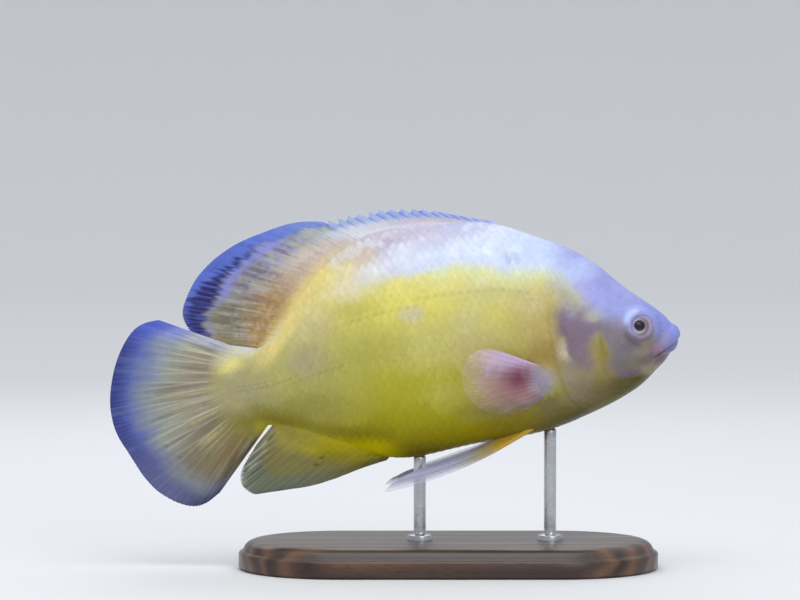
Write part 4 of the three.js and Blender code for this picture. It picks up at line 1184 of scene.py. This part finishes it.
# One scale seen from above: a middle, a ring round it, the rim above and below, and a middle underneath.
# Along is negative towards the rear. Level says how high each point stands, from 1 above to -1 underneath.
def scaleShape(segments):
    turn = (np.arange(segments) + 0.5) / segments * 2 * np.pi
    along, across = np.cos(turn), np.sign(np.sin(turn)) * np.abs(np.sin(turn)) ** 0.8
    along = np.where(along > 0, np.abs(along) ** 0.8 * coat["front"], along * coat["rear"])
    outline = np.stack([along, across * coat["half"]], -1)
    shape = np.concatenate([[[0, 0]], outline * 0.6, outline, outline, [[0, 0]]])
    level = np.concatenate([[1.0], np.repeat([1.0, 0.6, -1.0], segments), [-1.0]])
    k = np.arange(segments)
    n = np.roll(k, -1)
    faces = [np.stack([np.zeros_like(k), 1 + n, 1 + k], -1)]
    for ring in range(2):
        a, b = 1 + ring * segments, 1 + (ring + 1) * segments
        faces.append(np.stack([a + k, a + n, b + n, b + k], -1))
    a = 1 + 2 * segments
    faces.append(np.stack([a + k, a + n, np.full(segments, 3 * segments + 1)], -1))
    return shape[:, 0], shape[:, 1], level, faces


# A batch of scales. where gives each point's place on the surface, the normal and the colour there. Points
# are lifted along the normal: a slope from the sunk front end to the raised rear one, lower at the sides, and
# a tube along the scales of the lateral line.
def scaleBatch(where, size, root, low, line=None, segments=12):
    along, across, level, faces = scaleShape(segments)
    size = (size * (1 + coat["sizeSpread"] * dice.uniform(-1, 1, len(size))))[:, None]
    tilt = coat["tilt"] * dice.normal(size=(2, len(size), 1))
    slope = (coat["lift"] + coat["sink"]) / (coat["rear"] + coat["front"])
    height = coat["lift"] - slope * (along + coat["rear"]) - coat["crown"] * (across / coat["half"]) ** 2
    height = height + coat["thick"] / 2 * level + tilt[0] * across + tilt[1] * along
    # Each scale is painted a little lighter towards its raised rear and darker on its underside, painted
    # light and shade, over a tone that differs at random.
    tone = 1 + coat["tintSpread"] * dice.normal(size=(len(size), 1)) + 0.03 * ease(-along, 0.5, 2.5)
    tone = tone * (1 - 0.08 * (level < 0))
    if line is not None:
        tube = line[:, None] * bump(across, coat["tubeWidth"]) * (level > 0)
        height = height + coat["tubeHeight"] * tube
        tone = tone * (1 - 0.16 * tube)
    base, outward, colour = where(along * size, across * size)
    points = base + outward * (height * size * np.reshape(low, (-1, 1)))[..., None]
    patch = np.stack([along, across], -1) / coat["half"] * coat["bakePatch"]
    return points, colour * tone[..., None], faces, root[:, None] + patch


# Joins batches into one piece whose map OFBake has a small patch for each scale at its root's place.
def joinScales(name, side, batches):
    places, colours, blocks, spots, start = [], [], [], [], 0
    for points, colour, faces, spot in batches:
        count, each = points.shape[:2]
        first = start + (np.arange(count) * each)[:, None, None]
        blocks += [(block[None] + first).reshape(-1, block.shape[1])[:, ::side] for block in faces]
        places.append(points.reshape(-1, 3))
        colours.append(colour.reshape(-1, 3))
        spots.append(spot.reshape(-1, 2))
        start += count * each
    piece = makePiece(name, np.concatenate(places), blocks, scaleMaterial, np.concatenate(colours), sharp=38)
    corners = np.empty(len(piece.data.loops), int)
    piece.data.loops.foreach_get("vertex_index", corners)
    layer = piece.data.uv_layers.new(name="OFBake")
    layer.data.foreach_set("uv", np.concatenate(spots)[corners].astype(np.float32).ravel())
    print(name, start, "points,", len(piece.data.polygons), "faces")


# The body's surface at millimetres towards the snout and up from q and t. Side is 1 for the right.
def onBody(q, t, side, relief):
    def where(along, across):
        u, v = wherePoint(q[:, None] + along, t[:, None] + across)
        plain = bodyPoint(u, v)
        outward = normalOf(bodyPoint, u, v, 0.02, 0.01)
        outward = outward * np.sign((outward * (plain - bodyPoint(u, v + np.pi))).sum(-1, keepdims=True))
        base = skinPoint(u, v) if relief else plain - outward * body["coatDepth"]
        home = bodyPoint(*wherePoint(q, t))
        colour = bodyColour(plain * 0.5 + home[:, None] * 0.5)
        return base * (1, side, 1), outward * (1, side, 1), colour
    return where


# Places on a body lattice whose rows draw together towards the tail; every other row is shifted by half.
def bodyLattice(first, last, share, finer=1.0):
    at = np.transpose(coat["sizes"])
    half = [first]
    while half[-1] > last:
        half.append(half[-1] - coat["length"] * finer * np.interp(half[-1], *at) / 2)
    half = np.array(half)
    row, column = np.meshgrid(np.arange(-40, 46), np.arange(len(half) // 2), indexing="ij")
    q = half[np.minimum(column * 2 + row % 2, len(half) - 1)]
    size = np.interp(q, *at) * finer
    t = row * coat["row"] * size
    top, bottom = np.interp(-q, -sideX, backLength), np.interp(-q, -sideX, bellyLength)
    keep = (t < top - 0.8 * size) & (t > bottom + 0.8 * size) & (q > last)
    q, t, size = q[keep], t[keep], size[keep] * share
    points = bodyPoint(*wherePoint(q, t))
    return q, t, size, points[..., 0], points[..., 2]


# Where the body's scales have their patches in the map: q along it and t up it.
def bodyRoots(q, t):
    return np.stack([0.02 + 0.96 * (q + 226) / 226, 0.5 + t / 210], -1)


# The body's scales lie behind the gill cover and, above its line, on the nape. Finer, lower ones cover the
# gill cover and the cheek.
def makeBodyScales():
    q, t, size, x, z = bodyLattice(-34, -221, 1.0)
    edge, _ = fromCurve(head["gillEdge"], x, z)
    behind = ((edge > 1.0) & (x < -52)) | (x < -66)
    nape = (z > np.interp(x, *np.transpose(coat["napeLine"]))) & ~behind & (x < -30)
    near = [np.abs(fromCurve(curve, x, z)[0]) < coat["lineReach"] for curve in coat["lines"]]
    line = behind & (near[0] | near[1])
    # Which scales, whether the skin under them has relief, and how high they stand.
    large = ((behind & (x < -72), False, 1.0), (behind & (x >= -72), True, 1.0), (nape, True, 0.7))
    fineQ, fineT, fineSize, x, z = bodyLattice(-27, -66, 0.95, 0.72)
    edge, _ = fromCurve(head["gillEdge"], x, z)
    ridge, _ = fromCurve(head["cheekRidge"], x, z)
    _, _, fromEye, _ = roundEye(bodyPoint(*wherePoint(fineQ, fineT)))
    below = z - np.interp(x, *np.transpose(coat["napeLine"])) < -0.8
    cover = (edge < -1.6) & (edge > -40) & (ridge > 1.6) & below & (z > -24)
    cheek = (ridge < -2.0) & (ridge > -30) & (fromEye > 11.5) & below & (z > -13.5) & (x < -25)
    for name, side in (("right", 1), ("left", -1)):
        batches = []
        for chosen, relief, low in large:
            where = onBody(q[chosen], t[chosen], side, relief)
            flat = low * (0.35 + 0.65 * ease(q[chosen], -218, -200))
            roots = bodyRoots(q[chosen], t[chosen])
            batches.append(scaleBatch(where, size[chosen], roots, flat, line[chosen]))
        for chosen, low in ((cover, 0.6), (cheek, 0.35)):
            where = onBody(fineQ[chosen], fineT[chosen], side, True)
            roots = bodyRoots(fineQ[chosen], fineT[chosen])
            batches.append(scaleBatch(where, fineSize[chosen], roots, low))
        joinScales("scales_" + name, side, batches)


# The face of a fin at millimetres back towards the root and across the rays from s and r.
def onFin(fin, colouring, s, r, face):
    wide = np.linalg.norm(finMiddle(fin, s + 0.01, r) - finMiddle(fin, s - 0.01, r), axis=-1) / 0.02
    long = np.linalg.norm(finMiddle(fin, s, r + 0.01) - finMiddle(fin, s, r - 0.01), axis=-1) / 0.02
    def where(along, across):
        placeS = np.clip(s[:, None] + across / wide[:, None], 0.004, 0.996)
        placeR = r[:, None] - along / long[:, None]
        points, near, outward = finFace(fin, placeS, placeR, face)
        flat = points.reshape(-1, 3)
        midS = (placeS * 0.5 + s[:, None] * 0.5).ravel()  # half way to the scale's own place
        colour = colouring(midS, placeR.ravel(), near.ravel() * 0.3, flat)
        return points, outward * (1, face, 1), colour[:, :3].reshape(points.shape)
    return where, wide


# Fins whose base is scaled: rows of scales at the root, columns, how far out they reach, and the start of
# their patches in the map.
scaledFins = [
    ("tail_fin", tailColour, 25, 13, 0.4, 0.0), ("dorsal_fin_soft", softDorsalColour, 44, 9, 0.42, 0.33),
    ("anal_fin", analColour, 38, 7, 0.36, 0.66),
]


# Scales in shifted rows over the base of each fin, fewer and lower outwards, up to a ragged limit.
def makeFinScales():
    for name, face in (("right", -1), ("left", 1)):
        batches = []
        for node, colouring, rows, columns, reach, slot in scaledFins:
            row, column = np.meshgrid(np.arange(rows), np.arange(columns), indexing="ij")
            s = ((row + 0.5) / rows).ravel()
            r = ((column + 0.5 * (row % 2) - 0.6) / columns * reach).ravel()
            limit = reach * (0.75 + 0.25 * grain(np.stack([s * 9, r * 0, r * 0], -1), 1.0, 71))
            s, r = s[r < limit], r[r < limit]
            where, wide = onFin(fins[node], colouring, s, r, face)
            size = np.minimum(wide / rows / coat["row"] * 1.08, 0.56) * (1 - 0.35 * ease(r / reach, 0.3, 1))
            root = np.stack([0.02 + slot + 0.28 * s, 0.1 + 0.8 * r], -1)
            batches.append(scaleBatch(where, size, root, 1 - 0.4 * ease(r / reach, 0.2, 1), segments=10))
        joinScales("fin_scales_" + name, face, batches)


makeBodyScales()
makeFinScales()
print("scales made")


# Stand: a walnut base with a routed edge, and two brushed rods with a small foot each.

stand = {
    "length": 206.0, "width": 100.0, "height": 14.0, "centreX": 26.0,
    "edge": [(1.2, 0.0), (0.0, 1.2), (0.0, 7.6), (0.5, 8.4), (1.6, 8.9), (2.3, 9.8), (3.2, 11.6), (4.8, 13.0),
             (6.8, 13.8), (9.0, 14.0)],  # how far in from the outline, and height
    "underInset": 3.0, "topInsets": (14, 22, 32, 42),  # rings of the underside and of the flat top
    "rods": {"stand_rod_front": 76.0, "stand_rod_rear": 12.0}, "rodRadius": 3.0,
    "foot": (6.2, 2.6), "sunk": 3.0, "around": 48,  # a foot's radius and height, and how deep it goes in
    "sharp": 40,  # degrees from which an edge stays sharp
}


# Walnut: growth rings round a distant core, streaked along the grain, with fine open pores.
def makeWalnut():
    material, tree, surface = newMaterial("walnut")
    place = addNode(tree, "TexCoord")
    mapping = addNode(tree, "Mapping")
    mapping.inputs["Location"].default_value = (0.2, 0.1, 0.35)
    mapping.inputs["Rotation"].default_value = (0.1, 0.06, 0.05)
    mapping.inputs["Scale"].default_value = (6.0, 60.0, 60.0)
    warp = addNode(tree, "TexNoise", in_Scale=1.6, in_Detail=4.0, in_Roughness=0.55)
    rings = addNode(tree, "TexWave", wave_type="RINGS", rings_direction="X")
    rings.inputs["Scale"].default_value = 0.55
    rings.inputs["Distortion"].default_value = 5.0
    rings.inputs["Detail"].default_value = 3.0
    rings.inputs["Detail Scale"].default_value = 1.4
    ramp = addNode(tree, "ValToRGB")
    ramp.color_ramp.elements[0].color = (*shade(50, 33, 24), 1)
    ramp.color_ramp.elements[1].color = (*shade(104, 72, 50), 1)
    middle = ramp.color_ramp.elements.new(0.55)
    middle.color = (*shade(78, 52, 36), 1)
    pores = addNoise(tree, 0.5, 2.0, (14, 1, 1))
    mix = addNode(tree, "Mix", data_type="RGBA", blend_type="MULTIPLY")
    dark = addNode(tree, "ValToRGB")
    dark.color_ramp.elements[0].position, dark.color_ramp.elements[1].position = 0.36, 0.5
    dark.color_ramp.elements[0].color = (0.45, 0.4, 0.36, 1)
    tree.links.new(place.outputs["Object"], mapping.inputs["Vector"])
    tree.links.new(mapping.outputs["Vector"], warp.inputs["Vector"])
    tree.links.new(mapping.outputs["Vector"], rings.inputs["Vector"])
    tree.links.new(rings.outputs["Fac"], ramp.inputs["Fac"])
    tree.links.new(pores.outputs["Fac"], dark.inputs["Fac"])
    tree.links.new(ramp.outputs["Color"], mix.inputs[6])
    tree.links.new(dark.outputs["Color"], mix.inputs[7])
    mix.inputs["Factor"].default_value = 0.8
    tree.links.new(mix.outputs[2], surface.inputs["Base Color"])
    tree.links.new(addRange(tree, warp.outputs["Fac"], 0.3, 0.46), surface.inputs["Roughness"])
    addBump(tree, surface, pores.outputs["Fac"], 0.06)
    surface.inputs["Coat Weight"].default_value = 0.25
    surface.inputs["Coat Roughness"].default_value = 0.2
    return material


# Steel brushed round the rod: noise drawn out across the rod's length.
def makeSteel():
    material, tree, surface = newMaterial("brushedSteel")
    surface.inputs["Metallic"].default_value = 1.0
    brush = addNoise(tree, 0.25, 3.0, (9, 9, 1))
    cloud = addNoise(tree, 9.0, 3.0)
    tint = addNode(tree, "ValToRGB")
    tint.color_ramp.elements[0].color = (*shade(158, 160, 164), 1)
    tint.color_ramp.elements[1].color = (*shade(206, 208, 210), 1)
    tree.links.new(cloud.outputs["Fac"], tint.inputs["Fac"])
    tree.links.new(tint.outputs["Color"], surface.inputs["Base Color"])
    tree.links.new(addRange(tree, brush.outputs["Fac"], 0.2, 0.38), surface.inputs["Roughness"])
    addBump(tree, surface, brush.outputs["Fac"], 0.02)
    surface.inputs["Anisotropic"].default_value = 0.3
    return material


# The edge's profile carried round the outline of two half circles and two straight sides. The top and the
# underside are fans round the middles of the half circles, with a triangle where the two fans meet.
def makeBase():
    radius = stand["width"] / 2
    straight = stand["length"] / 2 - radius
    turn = np.linspace(-np.pi / 2, np.pi / 2, 49)
    side = np.linspace(-1, 1, 25)[1:-1]
    outX = np.concatenate([np.cos(turn), 0 * side, -np.cos(turn), 0 * side])
    outY = np.concatenate([np.sin(turn), 0 * side + 1, -np.sin(turn), 0 * side - 1])
    coreX = np.concatenate([0 * turn + 1, -side, 0 * turn - 1, side]) * straight
    tops = stand["topInsets"]
    inset = np.array([stand["underInset"], *[r for r, _ in stand["edge"]], *tops])
    height = np.array([0.0, *[h for _, h in stand["edge"]], *[stand["height"]] * len(tops)])
    reach = radius - inset[:, None]
    rings = np.stack([coreX + outX * reach + stand["centreX"], outY * reach, height[:, None] + 0 * outX], -1)
    hubs = [[stand["centreX"] + x, 0, z] for z in (0, stand["height"]) for x in (-straight, straight)]
    points = np.concatenate([rings.reshape(-1, 3), hubs]) / 1000
    rows, count = rings.shape[:2]
    k = np.arange(count)
    n = np.roll(k, -1)
    hub = np.where(coreX > 0, 1, 0)
    under, over, rim = rows * count + hub, rows * count + 2 + hub, (rows - 1) * count
    turns = k[hub != hub[n]]
    faces = [
        gridFaces(rows, count)[:, ::-1],
        np.stack([under, n, k], -1),
        np.stack([over, k + rim, n + rim], -1),
        np.stack([under[turns], under[n[turns]], n[turns]], -1),
        np.stack([over[n[turns]], over[turns], n[turns] + rim], -1),
    ]
    base = makePiece("stand_base_wood", points, faces, makeWalnut(), world=True, sharp=stand["sharp"])
    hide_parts("stand_base")


# Rings of points round an upright axis, from a profile of radius and height.
def uprightRings(profile, count, x=0.0):
    turn = np.arange(count) / count * 2 * np.pi
    radius, height = profile[:, 0, None], profile[:, 1, None]
    return np.stack([x + radius * np.cos(turn), radius * np.sin(turn), height + 0 * turn], -1).reshape(-1, 3)


# A rod turned from a profile of radius and height: its foot, its shank and its rounded tip in the fish.
def makeRod(node, x, steel):
    r, (wide, tall) = stand["rodRadius"], stand["foot"]
    base, top = stand["height"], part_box(node)[1][2] * 1000
    sunk, rim = base - stand["sunk"], base + tall
    profile = np.array([
        (0, sunk), (wide - 0.6, sunk), (wide, sunk + 0.6), (wide, rim - 1.0), (wide - 0.3, rim - 0.3),
        (wide - 1.0, rim), (r + 1.0, rim), (r + 0.3, rim + 0.3), (r, rim + 1.0),
        *[(r, z) for z in np.linspace(base + 6, top - 1.2, 12)],
        (r - 0.3, top - 0.4), (r - 1.0, top), (0, top),
    ])
    rings = uprightRings(profile[1:-1], stand["around"], x)
    points = np.concatenate([rings, [[x, 0, sunk], [x, 0, top]]]) / 1000
    faces = turnedFaces(len(profile) - 2, stand["around"])
    rod = makePiece(node + "_steel", points, faces, steel, world=True, sharp=stand["sharp"])
    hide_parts(node)


makeBase()
steel = makeSteel()
for node, x in stand["rods"].items():
    makeRod(node, x, steel)
print("stand made")


# Camera, lights and floor.

view = {
    "aim": (0.0023, 0.0, 0.1318), "distance": 1.8,  # metres
    "height": 2.5, "lens": 165.3,  # degrees, millimetres
    "sensor": 36, "nearest": 0.01,  # millimetres, metres
    "floorColour": (0.74, 0.75, 0.77), "floorRadius": 3.2, "floorBend": 1.4, "floorTop": 2.2, "around": 96,
    "dome": (0.2, 1.2), "domeColour": (0.95, 0.97, 1.0),  # strength at its foot and overhead
}
# Name, place, width, height, watts, colour.
lamps = [
    ("overhead", (0.0, -0.35, 1.1), 0.9, 0.6, 3.6, (0.96, 0.98, 1.0)),
    ("front", (0.5, -1.1, 0.7), 0.7, 0.6, 2.4, (1.0, 0.98, 0.95)),
    ("behind", (-0.2, 0.9, 0.8), 0.9, 0.5, 2.0, (0.95, 0.97, 1.0)),
]


# Turns a camera or lamp towards a point: yaw from the way it lies, pitch from its height over it.
def aimAt(thing, target):
    away = np.array(thing.location) - np.array(target)
    yaw = math.atan2(away[0], -away[1])
    pitch = math.atan2(math.hypot(away[0], away[1]), away[2])
    thing.rotation_euler = (pitch, 0, yaw)


# The camera stands a distance from its aim on the fish's right, a few degrees above it.
def makeCamera():
    lens = bpy.data.cameras.new("camera")
    lens.lens = view["lens"]
    lens.sensor_width = view["sensor"]
    lens.clip_start = view["nearest"]
    camera = bpy.data.objects.new("camera", lens)
    tilt, (x, y, z) = math.radians(view["height"]), view["aim"]
    camera.location = (x, y - view["distance"] * math.cos(tilt), z + view["distance"] * math.sin(tilt))
    aimAt(camera, view["aim"])
    bpy.context.collection.objects.link(camera)
    bpy.context.scene.camera = camera


# Three soft lamps, and a pale dome that is brighter overhead than at its foot.
def makeLamps():
    for name, place, width, tall, watts, colour in lamps:
        lamp = bpy.data.lights.new(name, "AREA")
        lamp.shape = "RECTANGLE"
        lamp.size = width
        lamp.size_y = tall
        lamp.energy = watts
        lamp.color = colour
        holder = bpy.data.objects.new(name, lamp)
        holder.location = place
        aimAt(holder, view["aim"])
        bpy.context.collection.objects.link(holder)
    world = bpy.data.worlds.new("studio")
    world.use_nodes = True
    sky = world.node_tree.nodes["Background"]
    place = addNode(world.node_tree, "TexCoord")
    split = addNode(world.node_tree, "SeparateXYZ")
    rise = addNode(world.node_tree, "MapRange")
    rise.inputs["To Min"].default_value = view["dome"][0]
    rise.inputs["To Max"].default_value = view["dome"][1]
    world.node_tree.links.new(place.outputs["Generated"], split.inputs["Vector"])
    world.node_tree.links.new(split.outputs["Z"], rise.inputs["Value"])
    world.node_tree.links.new(rise.outputs["Result"], sky.inputs["Strength"])
    sky.inputs["Color"].default_value = (*view["domeColour"], 1)
    bpy.context.scene.world = world


# The floor is a wide round of paper that curves up all round, far behind the object.
def makeFloor():
    bend = np.linspace(0, math.pi / 2, 24)
    flat, curve = view["floorRadius"], view["floorBend"]
    bent = np.stack([flat + curve * np.sin(bend), curve - curve * np.cos(bend)], -1)
    profile = np.concatenate([[(1, 0), (2, 0)], bent, [(flat + curve, view["floorTop"])]])
    rings = uprightRings(profile, view["around"])
    k = np.arange(view["around"])
    middle = np.stack([k, np.roll(k, -1), np.full(len(k), len(rings))], -1)
    faces = gridFaces(len(profile), len(k)).tolist() + middle.tolist()
    material, _, surface = newMaterial("palePaper")
    surface.inputs["Base Color"].default_value = (*view["floorColour"], 1)
    surface.inputs["Roughness"].default_value = 0.9
    mesh = bpy.data.meshes.new("studioFloor")
    mesh.from_pydata([*rings.tolist(), [0, 0, 0]], [], faces)
    mesh.shade_smooth()
    mesh.materials.append(material)
    floor = bpy.data.objects.new("studioFloor", mesh)
    bpy.context.collection.objects.link(floor)


makeCamera()
makeLamps()
makeFloor()
bpy.context.scene.view_settings.view_transform = "Standard"
print("camera, lights and floor placed")
